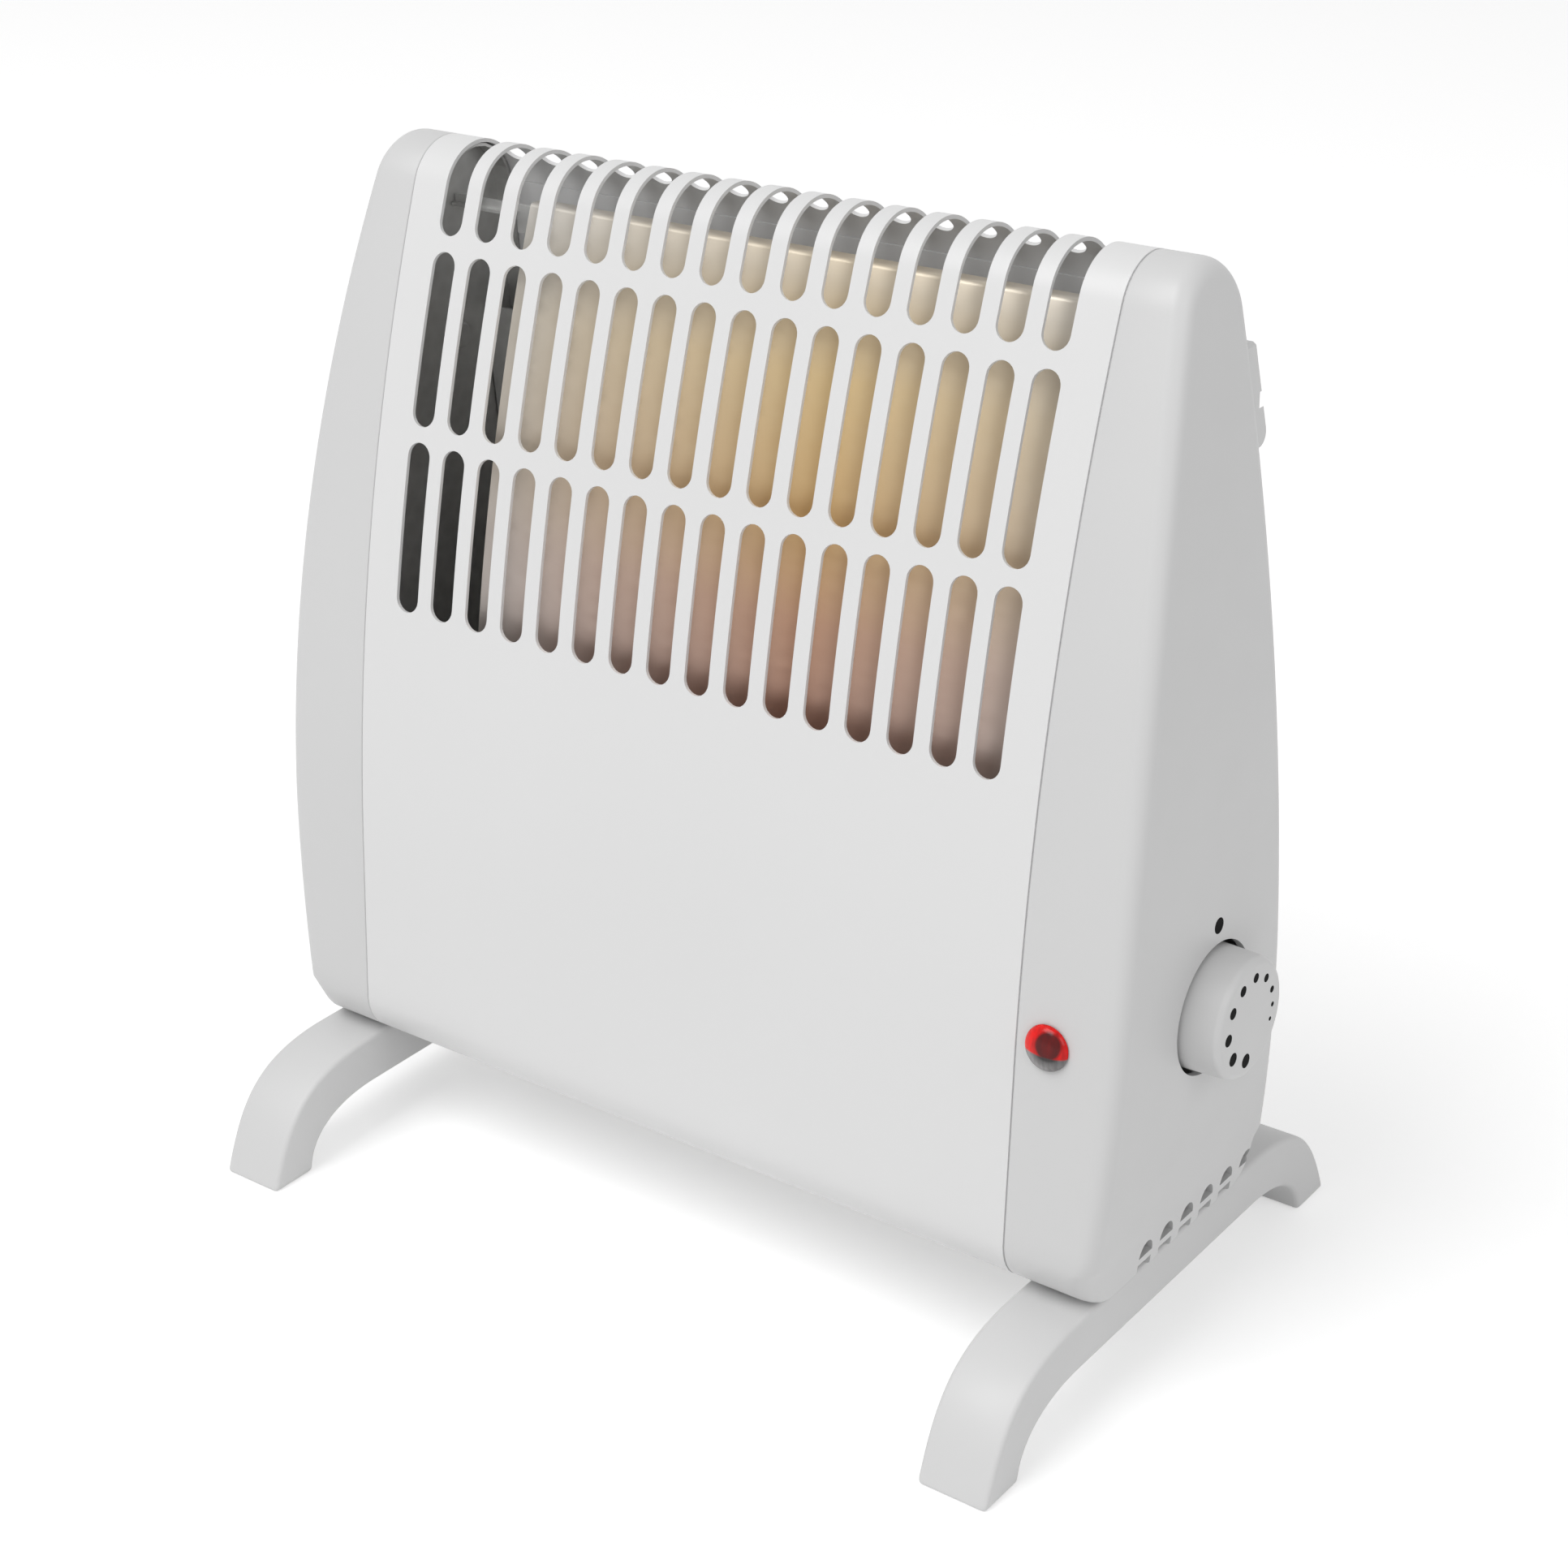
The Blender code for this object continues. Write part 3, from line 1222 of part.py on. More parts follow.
def deflector():
    """The heat deflector behind the slots, folded back at its top, and the strap that holds its left end."""
    path = []
    for k in range(DEFLECTOR_STEPS + 1):
        height = DEFLECTOR_BOTTOM_Z + (DEFLECTOR_TOP_Z - DEFLECTOR_BOTTOM_Z) * k / DEFLECTOR_STEPS
        path.append(wall_point(FRONT_WALL, height, DEFLECTOR_DEPTH))
    y, z = path[-1]
    path.append((y + DEFLECTOR_FLANGE, z - PLATE))
    bent_sheet("heat_deflector", path, DEFLECTOR_LEFT_X, inner_x(), "galvanised_steel")
    strap_y = y + DEFLECTOR_FLANGE + SEAT_GAP + PLATE / 2
    strap = [(strap_y, z - STRAP_HEIGHT), (strap_y, z)]
    bent_sheet("deflector_strap", strap, -inner_x(), DEFLECTOR_LEFT_X + STRAP_LAP, "galvanised_steel")


def heat_shield():
    """The plate that keeps the heat off the back sheet."""
    path = []
    for k in range(SHIELD_STEPS + 1):
        height = SHIELD_BOTTOM_Z + (SHIELD_TOP_Z - SHIELD_BOTTOM_Z) * k / SHIELD_STEPS
        path.append(wall_point(BACK_WALL, height, SHIELD_DEPTH))
    bent_sheet("heat_shield", path, -inner_x(), inner_x(), "galvanised_steel")


def heating_element():
    """A U-shaped sheathed element, its two bushes in the right plate and its support at the left."""
    front, back = element_lines()
    right = END_PLATE_X + ELEMENT_TAIL
    bend_x = ELEMENT_LEFT_X + ELEMENT_SPACING / 2
    points = [(right, front, ELEMENT_Z)]
    for k in range(ELEMENT_BEND_STEPS + 1):
        angle = math.pi / 2 + math.pi * k / ELEMENT_BEND_STEPS
        x = bend_x + ELEMENT_SPACING / 2 * math.cos(angle)
        y = middle_y(ELEMENT_Z) - ELEMENT_SPACING / 2 * math.sin(angle)
        points.append((x, y, ELEMENT_Z))
    points.append((right, back, ELEMENT_Z))
    tube("heating_element", points, ELEMENT_RADIUS, "element_steel")
    hole = ELEMENT_RADIUS + SEAT_GAP
    neck = element_hole() - SEAT_GAP
    flange = hole + ELEMENT_BUSH_WALL
    start = END_PLATE_X - PLATE - ELEMENT_BUSH
    for name, y in (("element_bush_front", front), ("element_bush_back", back)):
        profile = [
            (hole, 2 * ELEMENT_BUSH + PLATE),
            (flange, 2 * ELEMENT_BUSH + PLATE),
            (flange, ELEMENT_BUSH + PLATE + SEAT_GAP),
            (neck, ELEMENT_BUSH + PLATE + SEAT_GAP),
            (neck, 0),
            (hole, 0),
        ]
        turned(name, profile, (start, y, ELEMENT_Z), (1, 0, 0), "ceramic", SMALL_ROUND, ring=True)
    element_support(front, back, hole)


def element_support(front, back, hole):
    """A plate on the base grille that the element's legs pass through."""
    floor = BASE_Z + SHEET + SEAT_GAP
    top = ELEMENT_Z + SUPPORT_MARGIN
    bm = bmesh.new()
    corners = [
        bm.verts.new((SUPPORT_X, front - SUPPORT_MARGIN, top)),
        bm.verts.new((SUPPORT_X, back + SUPPORT_MARGIN, top)),
        bm.verts.new((SUPPORT_X, back + SUPPORT_MARGIN, floor + PLATE / 2)),
        bm.verts.new((SUPPORT_X, front - SUPPORT_MARGIN, floor + PLATE / 2)),
    ]
    bm.faces.new(corners)
    foot_edge = bm.edges.get((corners[2], corners[3]))
    pushed = bmesh.ops.extrude_edge_only(bm, edges=[foot_edge])
    moved = [item for item in pushed["geom"] if isinstance(item, bmesh.types.BMVert)]
    bmesh.ops.translate(bm, vec=(SUPPORT_FOOT, 0, 0), verts=moved)
    part = place("element_support", bm, "galvanised_steel")
    solidify(part, PLATE, 0.0)
    punch = bmesh.new()
    for y in (front, back):
        spot = Vector((SUPPORT_X, y, ELEMENT_Z))
        reach = Vector((CUT_MARGIN, 0, 0))
        add_cylinder(punch, spot - reach, spot + reach, hole)
    cut(part, cutter("element_support_holes", punch))


# Wall lugs and screws


def casing_solid(gap):
    """A solid of the casing's outline, grown by a gap, wider than the part."""
    chain = stations(FRONT_FILLET, FRONT_WALL, TOP_FRONT, TOP_BACK, BACK_WALL, BACK_FILLET)
    bm = bmesh.new()
    low_x = -CAP_WIDEST_X - CUT_MARGIN
    add_prism(bm, [(low_x, *at(station, -gap)) for station in chain], (-2 * low_x, 0, 0))
    return cutter("casing_envelope", bm)


def lug_face_y(height):
    """The lug's leaning back face at a height."""
    return before_back(LUG_TOP_Z, -LUG_STAND) + (LUG_TOP_Z - height) * math.tan(math.radians(LUG_LEAN))


def wall_lug(name, side, envelope):
    """A wall lug on a cap's back: a leaning face, a round toe, and a keyhole with a recess open sideways."""
    lean = math.radians(LUG_LEAN)
    low_z = LUG_TOP_Z - LUG_HEIGHT
    centre_z = low_z + LUG_TOE_RADIUS
    centre_y = lug_face_y(centre_z) - LUG_TOE_RADIUS / math.cos(lean)
    deep_y = before_back(LUG_TOP_Z, CUT_MARGIN)
    profile = [(deep_y, low_z), (deep_y, LUG_TOP_Z), (lug_face_y(LUG_TOP_Z), LUG_TOP_Z)]
    for k in range(LUG_STEPS + 1):
        angle = lean - (math.pi / 2 + lean) * k / LUG_STEPS
        y = centre_y + LUG_TOE_RADIUS * math.cos(angle)
        profile.append((y, centre_z + LUG_TOE_RADIUS * math.sin(angle)))
    middle_x = side * LUG_X
    bm = bmesh.new()
    add_prism(bm, [(middle_x - LUG_WIDTH / 2, y, z) for y, z in profile], (LUG_WIDTH, 0, 0))
    part = place(name, bm, "white_plastic")
    cut(part, envelope)
    round_edges(part, LUG_EDGE)
    outside_y = lug_face_y(low_z) + CUT_MARGIN
    hole_y = before_back(LUG_KEYHOLE_Z, -LUG_FLOOR)
    keyhole = bmesh.new()
    points = []
    slot_top = LUG_KEYHOLE_Z + LUG_SLOT_RISE
    meet = math.asin(LUG_SLOT_RADIUS / LUG_KEYHOLE_RADIUS)
    for k in range(2 * LUG_STEPS + 1):
        angle = math.pi / 2 + meet + (2 * math.pi - 2 * meet) * k / (2 * LUG_STEPS)
        x = middle_x + LUG_KEYHOLE_RADIUS * math.cos(angle)
        points.append((x, outside_y, LUG_KEYHOLE_Z + LUG_KEYHOLE_RADIUS * math.sin(angle)))
    for k in range(LUG_STEPS + 1):
        angle = math.pi * k / LUG_STEPS
        x = middle_x + LUG_SLOT_RADIUS * math.cos(angle)
        points.append((x, outside_y, slot_top + LUG_SLOT_RADIUS * math.sin(angle)))
    add_prism(keyhole, points, (0, hole_y - outside_y, 0))
    cut(part, cutter(name + "_keyhole", keyhole))
    recess = bmesh.new()
    bottom = (middle_x, hole_y + LUG_RECESS_RISE, LUG_KEYHOLE_Z)
    add_cylinder(recess, bottom, (middle_x, outside_y, LUG_KEYHOLE_Z), LUG_RECESS_RADIUS)
    cut(part, cutter(name + "_recess", recess))


def pan_screw(name, spot, direction, grip, head_gap):
    """A pan-head screw: its head outside a face and its shank running in."""
    profile = [
        (0, head_gap + SCREW_HEAD),
        (SCREW_CROWN_RADIUS, head_gap + SCREW_HEAD),
        (SCREW_HEAD_RADIUS, head_gap + SCREW_HEAD / 2),
        (SCREW_HEAD_RADIUS, head_gap),
        (SCREW_RADIUS, head_gap),
        (SCREW_RADIUS, -grip),
        (0, -grip - SCREW_RADIUS),
    ]
    turned(name, profile, spot, direction, "plated_steel", SMALL_ROUND)


def screws():
    """The screws up through the feet and those through the back sheet."""
    seat = FOOT_TOP_Z - FOOT_BEAM + SCREW_HEAD + SCREW_CLEARANCE
    grip = BASE_Z + CAP_WALL + FOOT_SCREW_GRIP - seat
    for side, word in ((1, "right"), (-1, "left")):
        for y, end in zip(foot_screw_lines(), ("front", "back")):
            spot = (side * foot_middle_x(), y, seat)
            pan_screw(f"foot_screw_{word}_{end}", spot, (0, 0, -1), grip, SEAT_GAP)
        for height, level in zip(REAR_SCREW_Z, ("lower", "upper")):
            spot = (side * rear_screw_x(), *wall_point(BACK_WALL, height))
            direction = wall_direction(BACK_WALL, height)
            pan_screw(f"rear_screw_{word}_{level}", spot, direction, REAR_SCREW_GRIP, SEAT_GAP)
        for (y, z), level in zip(cap_posts(), ("lower", "upper")):
            spot = (side * (END_PLATE_X - PLATE), y, z)
            pan_screw(f"cap_screw_{word}_{level}", spot, (-side, 0, 0), CAP_SCREW_GRIP, SEAT_GAP)


front_panel()
rear_panel()
base_grille()
end_cap("end_cap_right", 1)
end_cap("end_cap_left", -1)
foot("foot_right", 1)
foot("foot_left", -1)
knob()
spindle()
thermostat()
lamp()
cable_gland()
terminal_block()
thermal_cutout()
end_plate("end_plate_right", 1)
end_plate("end_plate_left", -1)
deflector()
heat_shield()
heating_element()
wires()
ENVELOPE = casing_solid(SEAT_GAP)
wall_lug("wall_lug_right", 1, ENVELOPE)
wall_lug("wall_lug_left", -1, ENVELOPE)
screws()
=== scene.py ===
"""Looks of the small convector heater: finishes, finer pieces over the solids, a white studio, a camera."""

import json
import math

import bmesh
import bpy
from mathutils import Matrix, Vector


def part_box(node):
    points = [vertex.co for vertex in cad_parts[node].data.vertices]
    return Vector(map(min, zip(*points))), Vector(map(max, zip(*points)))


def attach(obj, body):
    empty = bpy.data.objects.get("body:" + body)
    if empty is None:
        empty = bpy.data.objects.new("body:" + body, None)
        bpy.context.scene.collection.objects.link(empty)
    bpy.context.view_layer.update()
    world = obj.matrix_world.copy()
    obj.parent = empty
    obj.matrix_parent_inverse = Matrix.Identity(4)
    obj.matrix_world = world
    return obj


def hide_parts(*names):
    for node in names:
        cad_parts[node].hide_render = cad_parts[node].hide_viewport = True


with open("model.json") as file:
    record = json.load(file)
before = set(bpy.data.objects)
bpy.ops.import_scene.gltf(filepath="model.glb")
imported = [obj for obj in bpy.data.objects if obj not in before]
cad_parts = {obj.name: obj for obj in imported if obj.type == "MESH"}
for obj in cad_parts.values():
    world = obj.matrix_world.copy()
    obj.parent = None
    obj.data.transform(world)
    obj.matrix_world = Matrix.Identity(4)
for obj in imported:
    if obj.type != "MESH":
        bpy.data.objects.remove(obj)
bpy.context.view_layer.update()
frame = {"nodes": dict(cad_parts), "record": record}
NODES = frame["nodes"]
MM = 0.001

# The CAD frame is centred on the overall width, so the casing's own middle lies a little to its left
KNOB_FACE_X = 148.2 * MM
LAMP_X = 117.9 * MM
LAMP_Z = 103.2 * MM
SHIFT_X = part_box("thermostat_knob")[1][0] - KNOB_FACE_X


# Materials

# Where most of a noise value lies, and the full heights of surface grain
NOISE_LOW = 0.3
NOISE_HIGH = 0.7
NOISE_DETAIL = 2.0
FINE_GRAIN = 0.01 * MM
GRAIN = 0.02 * MM
COARSE_GRAIN = 0.03 * MM


class Paint:
    """A node material that is put together step by step around one Principled shader."""

    def __init__(self, name, colour, roughness, metallic=0.0):
        self.material = bpy.data.materials.new(name)
        self.material.use_nodes = True
        self.tree = self.material.node_tree
        self.shader = self.tree.nodes["Principled BSDF"]
        self.shader.inputs["Base Color"].default_value = (*colour, 1)
        self.shader.inputs["Roughness"].default_value = roughness
        self.shader.inputs["Metallic"].default_value = metallic
        self.colour = colour
        self.space = self.tree.nodes.new("ShaderNodeTexCoord").outputs["Object"]
        self.normal = None

    def link(self, output, target):
        self.tree.links.new(output, target)

    def noise(self, scale, stretch=None):
        """A noise value over the object's own space, with its scale in cells a metre."""
        node = self.tree.nodes.new("ShaderNodeTexNoise")
        node.inputs["Scale"].default_value = scale
        node.inputs["Detail"].default_value = NOISE_DETAIL
        source = self.space
        if stretch:
            mapping = self.tree.nodes.new("ShaderNodeMapping")
            mapping.inputs["Scale"].default_value = stretch
            self.link(source, mapping.inputs["Vector"])
            source = mapping.outputs["Vector"]
        self.link(source, node.inputs["Vector"])
        return node.outputs["Fac"]

    def ramp(self, value, stops):
        """Colours along a value: (place, colour) pairs."""
        node = self.tree.nodes.new("ShaderNodeValToRGB")
        elements = node.color_ramp.elements
        while len(elements) > 1:
            elements.remove(elements[-1])
        elements[0].position = stops[0][0]
        elements[0].color = (*stops[0][1], 1)
        for place, colour in stops[1:]:
            element = elements.new(place)
            element.color = (*colour, 1)
        self.link(value, node.inputs["Fac"])
        return node.outputs["Color"]

    def measure(self, value, low, high):
        """Where a value lies between two numbers, as 0 to 1."""
        node = self.tree.nodes.new("ShaderNodeMapRange")
        node.inputs["From Min"].default_value = low
        node.inputs["From Max"].default_value = high
        self.link(value, node.inputs["Value"])
        return node.outputs["Result"]

    def blend(self, share, first, second, mode="MIX"):
        """Blends two colours by a share, which is a number or a value."""
        node = self.tree.nodes.new("ShaderNodeMix")
        node.data_type = "RGBA"
        node.blend_type = mode
        if isinstance(share, float):
            node.inputs["Factor"].default_value = share
        else:
            self.link(share, node.inputs["Factor"])
        self.link(first, node.inputs["A"])
        self.link(second, node.inputs["B"])
        return node.outputs["Result"]

    def spread(self, value, low, high, target):
        """Drives a socket between two numbers by a value."""
        node = self.tree.nodes.new("ShaderNodeMapRange")
        node.inputs["From Min"].default_value = NOISE_LOW
        node.inputs["From Max"].default_value = NOISE_HIGH
        node.inputs["To Min"].default_value = low
        node.inputs["To Max"].default_value = high
        self.link(value, node.inputs["Value"])
        self.link(node.outputs["Result"], self.shader.inputs[target])

    def bump(self, value, height, strength=1.0):
        """Adds a bump whose full height is in metres."""
        node = self.tree.nodes.new("ShaderNodeBump")
        node.inputs["Distance"].default_value = height
        node.inputs["Strength"].default_value = strength
        self.link(value, node.inputs["Height"])
        if self.normal:
            self.link(self.normal, node.inputs["Normal"])
        self.normal = node.outputs["Normal"]
        self.link(self.normal, self.shader.inputs["Normal"])

    def tone(self, value, amount):
        """Varies the colour a little, darker and lighter."""
        low = tuple(part * (1 - amount) for part in self.colour)
        high = tuple(min(part * (1 + amount), 1) for part in self.colour)
        shades = ((NOISE_LOW, low), (NOISE_HIGH, high))
        self.link(self.ramp(value, shades), self.shader.inputs["Base Color"])


def enamel():
    paint = Paint("white_enamel_paint", (0.77, 0.77, 0.77), 0.38)
    paint.tone(paint.noise(6), 0.012)
    paint.spread(paint.noise(40), 0.34, 0.42, "Roughness")
    paint.bump(paint.noise(900), GRAIN, 0.35)
    return paint.material


def moulded(name, colour, roughness, grain):
    paint = Paint(name, colour, roughness)
    paint.tone(paint.noise(9), 0.012)
    paint.spread(paint.noise(70), roughness - 0.04, roughness + 0.04, "Roughness")
    paint.bump(paint.noise(grain), GRAIN, 0.5)
    return paint.material


def galvanised():
    paint = Paint("zinc_coated_sheet", (0.56, 0.56, 0.55), 0.4, 0.7)
    cells = paint.tree.nodes.new("ShaderNodeTexVoronoi")
    cells.inputs["Scale"].default_value = 260
    paint.link(paint.space, cells.inputs["Vector"])
    shades = ((0.0, (0.52, 0.52, 0.51)), (1.0, (0.6, 0.6, 0.59)))
    paint.link(paint.ramp(cells.outputs["Distance"], shades), paint.shader.inputs["Base Color"])
    paint.spread(paint.noise(120), 0.36, 0.46, "Roughness")
    paint.bump(paint.noise(300), GRAIN, 0.1)
    return paint.material


# Colours of a painted warm glow up the deflector, and how strong it is from its left end to its right end
PAINTED_GLOW_LOW_Z = 150.0 * MM
PAINTED_GLOW_HIGH_Z = 266.0 * MM
PAINTED_GLOW_END_X = 105.0 * MM
PAINTED_GLOW_COLOURS = (
    (0.0, (0.4, 0.24, 0.2)),
    (0.3, (0.5, 0.3, 0.2)),
    (0.5, (0.62, 0.42, 0.2)),
    (0.8, (0.66, 0.5, 0.27)),
    (1.0, (0.62, 0.54, 0.42)),
)
PAINTED_GLOW_SHARES = ((0.0, 0.0), (0.3, 0.6), (0.62, 1.0), (0.85, 0.65), (1.0, 0.2))


def glow_painted_steel():
    """Sheet steel with a painted warm glow over it, red-brown low and straw high, strongest in the middle of
    the casing.
    """
    paint = Paint("steel_with_painted_glow", (0.6, 0.57, 0.5), 0.4, 0.7)
    axes = paint.tree.nodes.new("ShaderNodeSeparateXYZ")
    paint.link(paint.space, axes.inputs["Vector"])
    # The painted warm glow: its colour by height, and its strength across the casing
    glow_colour = paint.ramp(paint.measure(axes.outputs["Z"], PAINTED_GLOW_LOW_Z, PAINTED_GLOW_HIGH_Z), PAINTED_GLOW_COLOURS)
    shares = [(place, (share,) * 3) for place, share in PAINTED_GLOW_SHARES]
    middle = paint.ramp(paint.measure(axes.outputs["X"], -PAINTED_GLOW_END_X, PAINTED_GLOW_END_X), shares)
    shades = ((NOISE_LOW, (0.55, 0.54, 0.52)), (NOISE_HIGH, (0.6, 0.59, 0.57)))
    steel = paint.ramp(paint.noise(90), shades)
    paint.link(paint.blend(middle, steel, glow_colour), paint.shader.inputs["Base Color"])
    paint.spread(paint.noise(60, (1, 1, 6)), 0.36, 0.46, "Roughness")
    paint.bump(paint.noise(300), GRAIN, 0.08)
    return paint.material


# Painted shade in the lens where the dark socket lies behind it, its middle beside the lens's own, and where
# the painted grey reflection over the lower part begins
PAINTED_SHADE_SHIFT_X = 1.4 * MM
PAINTED_SHADE_SHIFT_Z = 1.8 * MM
LENS_RED_END_Z = -2.6 * MM
PAINTED_REFLECTION_START_Z = -3.1 * MM
LENS_RADIUS = 6.0 * MM
LENS_REDS_AND_PAINTED_SHADE = (
    (0.0, (0.16, 0.001, 0.001)),
    (0.5, (0.12, 0.001, 0.001)),
    (0.62, (0.8, 0.002, 0.001)),
    (1.0, (0.95, 0.004, 0.001)),
)
LENS_PAINTED_REFLECTION_GREYS = (
    (0.0, (0.03, 0.02, 0.02)),
    (0.6, (0.05, 0.045, 0.045)),
    (0.72, (0.16, 0.155, 0.155)),
    (1.0, (0.3, 0.29, 0.29)),
)
LENS_STREAKS = ((0.35, (0.35, 0.35, 0.35)), (0.65, (1, 1, 1)))
LENS_STREAK_SHARE = 0.55


def lamp_red():
    """The lens: a bright red rim, a streaked middle darkened with painted shade where the socket lies behind,
    and a painted grey reflection over its lower part.
    """
    paint = Paint("red_lens_plastic", (0.8, 0.004, 0.002), 0.18)
    place = paint.tree.nodes.new("ShaderNodeMapping")
    # Centre of the painted shade, where the socket lies behind the lens
    socket = (-LAMP_X - SHIFT_X - PAINTED_SHADE_SHIFT_X, 0, -LAMP_Z - PAINTED_SHADE_SHIFT_Z)
    place.inputs["Location"].default_value = socket
    place.inputs["Scale"].default_value = (1, 0, 1)
    paint.link(paint.space, place.inputs["Vector"])
    length = paint.tree.nodes.new("ShaderNodeVectorMath")
    length.operation = "LENGTH"
    paint.link(place.outputs["Vector"], length.inputs[0])
    axes = paint.tree.nodes.new("ShaderNodeSeparateXYZ")
    paint.link(place.outputs["Vector"], axes.inputs["Vector"])
    # Painted shade darkens the middle; a painted grey reflection covers the lower part
    reach = paint.measure(length.outputs["Value"], 0, LENS_RADIUS)
    lower = paint.measure(axes.outputs["Z"], LENS_RED_END_Z, PAINTED_REFLECTION_START_Z)
    mixed = paint.blend(lower, paint.ramp(reach, LENS_REDS_AND_PAINTED_SHADE), paint.ramp(reach, LENS_PAINTED_REFLECTION_GREYS))
    streaks = paint.ramp(paint.noise(700, (1, 1, 0.12)), LENS_STREAKS)
    paint.link(paint.blend(LENS_STREAK_SHARE, mixed, streaks, "MULTIPLY"), paint.shader.inputs["Base Color"])
    paint.shader.inputs["Specular IOR Level"].default_value = 0.3
    paint.spread(paint.noise(200), 0.16, 0.22, "Roughness")
    paint.bump(paint.noise(600), FINE_GRAIN, 0.15)
    return paint.material


def ink(name, colour):
    """Printed ink: dull, with hardly a gloss."""
    paint = Paint(name, colour, 0.8)
    paint.shader.inputs["Specular IOR Level"].default_value = 0.12
    paint.tone(paint.noise(900), 0.2)
    paint.spread(paint.noise(500), 0.75, 0.85, "Roughness")
    paint.bump(paint.noise(1500), FINE_GRAIN, 0.2)
    return paint.material


def metal(name, colour, roughness):
    paint = Paint(name, colour, roughness, 1.0)
    paint.tone(paint.noise(60), 0.08)
    paint.spread(paint.noise(300), roughness - 0.06, roughness + 0.08, "Roughness")
    paint.bump(paint.noise(700), GRAIN, 0.3)
    return paint.material


def plain(name, colour, roughness):
    paint = Paint(name, colour, roughness)
    paint.tone(paint.noise(80), 0.05)
    paint.spread(paint.noise(200), roughness - 0.05, roughness + 0.05, "Roughness")
    paint.bump(paint.noise(600), COARSE_GRAIN, 0.4)
    return paint.material


def clear(name, colour, roughness):
    paint = Paint(name, colour, roughness)
    paint.shader.inputs["Transmission Weight"].default_value = 1.0
    paint.shader.inputs["IOR"].default_value = 1.5
    paint.spread(paint.noise(150), roughness, roughness + 0.04, "Roughness")
    paint.bump(paint.noise(500), FINE_GRAIN, 0.2)
    return paint.material


LOOKS = {
    "white_enamel": enamel(),
    "white_plastic": moulded("moulded_white", (0.67, 0.67, 0.67), 0.42, 1500),
    "foot_plastic": moulded("moulded_white_feet", (0.68, 0.68, 0.68), 0.46, 1300),
    "galvanised_steel": galvanised(),
    "element_steel": metal("heat_darkened_steel", (0.16, 0.13, 0.12), 0.45),
    "plated_steel": metal("zinc_plated_steel", (0.62, 0.62, 0.6), 0.3),
    "brass": metal("turned_brass", (0.72, 0.52, 0.22), 0.3),
    "ceramic": plain("unglazed_ceramic", (0.78, 0.75, 0.68), 0.55),
    "clear_glass": clear("clear_tube", (0.95, 0.95, 0.93), 0.03),
    "red_lens": lamp_red(),
    # The deflector's sheet look, with its painted warm glow
    "warm_glow_painted": glow_painted_steel(),
    "black_plastic": plain("moulded_black", (0.02, 0.02, 0.02), 0.5),
    "dot_print": ink("black_ink", (0.004, 0.004, 0.004)),
}
SLOT_OF = {part["node"]: part["material_slot"] for part in frame["record"]["subparts"]}
for name, node in NODES.items():
    for place in node.material_slots:
        place.material = LOOKS[SLOT_OF[name]]


# Casing outline: a point and its outward direction at each height, front and back, as in the solids

BASE_Z = 31.3 * MM
BASE_FILLET = 14.0 * MM
FRONT_Y = -43.5 * MM
FRONT_RADIUS = 640.0 * MM
FRONT_CENTRE_Z = 41.3 * MM
FRONT_LEAN = math.radians(4.8)
TOP_Z = 283.3 * MM
TOP_RADIUS = 14.6 * MM
BACK_RADIUS = 12000.0 * MM
BACK_LEAN = math.radians(3.3)
SEAM_X = 108.75 * MM
SEAT_GAP = 0.3 * MM
SHEET = 1.0 * MM
BASE_RETURN = 10.0 * MM
CAP_WALL = 2.0 * MM
CAP_CORNER = 4.8 * MM
CAP_TOE_SWELL = 4.5 * MM
CAP_BASE_CORNER = 0.8 * MM
CAP_LEAST_CORNER = 0.3 * MM
CAP_WIDEST_X = 138.0 * MM
CAP_WIDEST_Z = 112.0 * MM
CAP_UPPER_RADIUS = 1060.0 * MM
CAP_LOWER_RADIUS = 560.0 * MM
CAP_SEAM_EDGE = 0.5 * MM
CAP_GROOVE = 0.27 * MM
CAP_LIP = 2.5 * MM
CAP_LIP_INSET = 1.15 * MM
KNOB_Y = 4.2 * MM
KNOB_Z = 99.4 * MM
GLAND_X = 120.0 * MM
GLAND_Z = 62.0 * MM

FILLET_Z = BASE_Z + BASE_FILLET
TOP_CENTRE_Z = TOP_Z - TOP_RADIUS
FRONT_CENTRE_Y = FRONT_Y + FRONT_RADIUS
TOP_CENTRE_RISE = TOP_CENTRE_Z - FRONT_CENTRE_Z
TOP_CENTRE_REACH = FRONT_RADIUS - TOP_RADIUS
TOP_CENTRE_Y = FRONT_CENTRE_Y - math.sqrt(TOP_CENTRE_REACH**2 - TOP_CENTRE_RISE**2)
FRONT_TOP = math.asin(TOP_CENTRE_RISE / TOP_CENTRE_REACH)
FRONT_REACH = FRONT_RADIUS - BASE_FILLET - math.sin(FRONT_LEAN) * (FILLET_Z - FRONT_CENTRE_Z)
FRONT_FILLET_Y = FRONT_CENTRE_Y - FRONT_REACH / math.cos(FRONT_LEAN)
BACK_CENTRE_Z = FILLET_Z - (BACK_RADIUS - BASE_FILLET) * math.sin(BACK_LEAN)
BACK_TOP = math.asin((TOP_CENTRE_Z - BACK_CENTRE_Z) / (BACK_RADIUS - TOP_RADIUS))
BACK_CENTRE_Y = TOP_CENTRE_Y - (BACK_RADIUS - TOP_RADIUS) * math.cos(BACK_TOP)
BACK_FILLET_Y = BACK_CENTRE_Y + (BACK_RADIUS - BASE_FILLET) * math.cos(BACK_LEAN)
BACK_TOP_Z = TOP_CENTRE_Z + TOP_RADIUS * math.sin(BACK_TOP)
FILLET_STEPS = 10
WALL_STEPS = 44
TOP_STEPS = 18


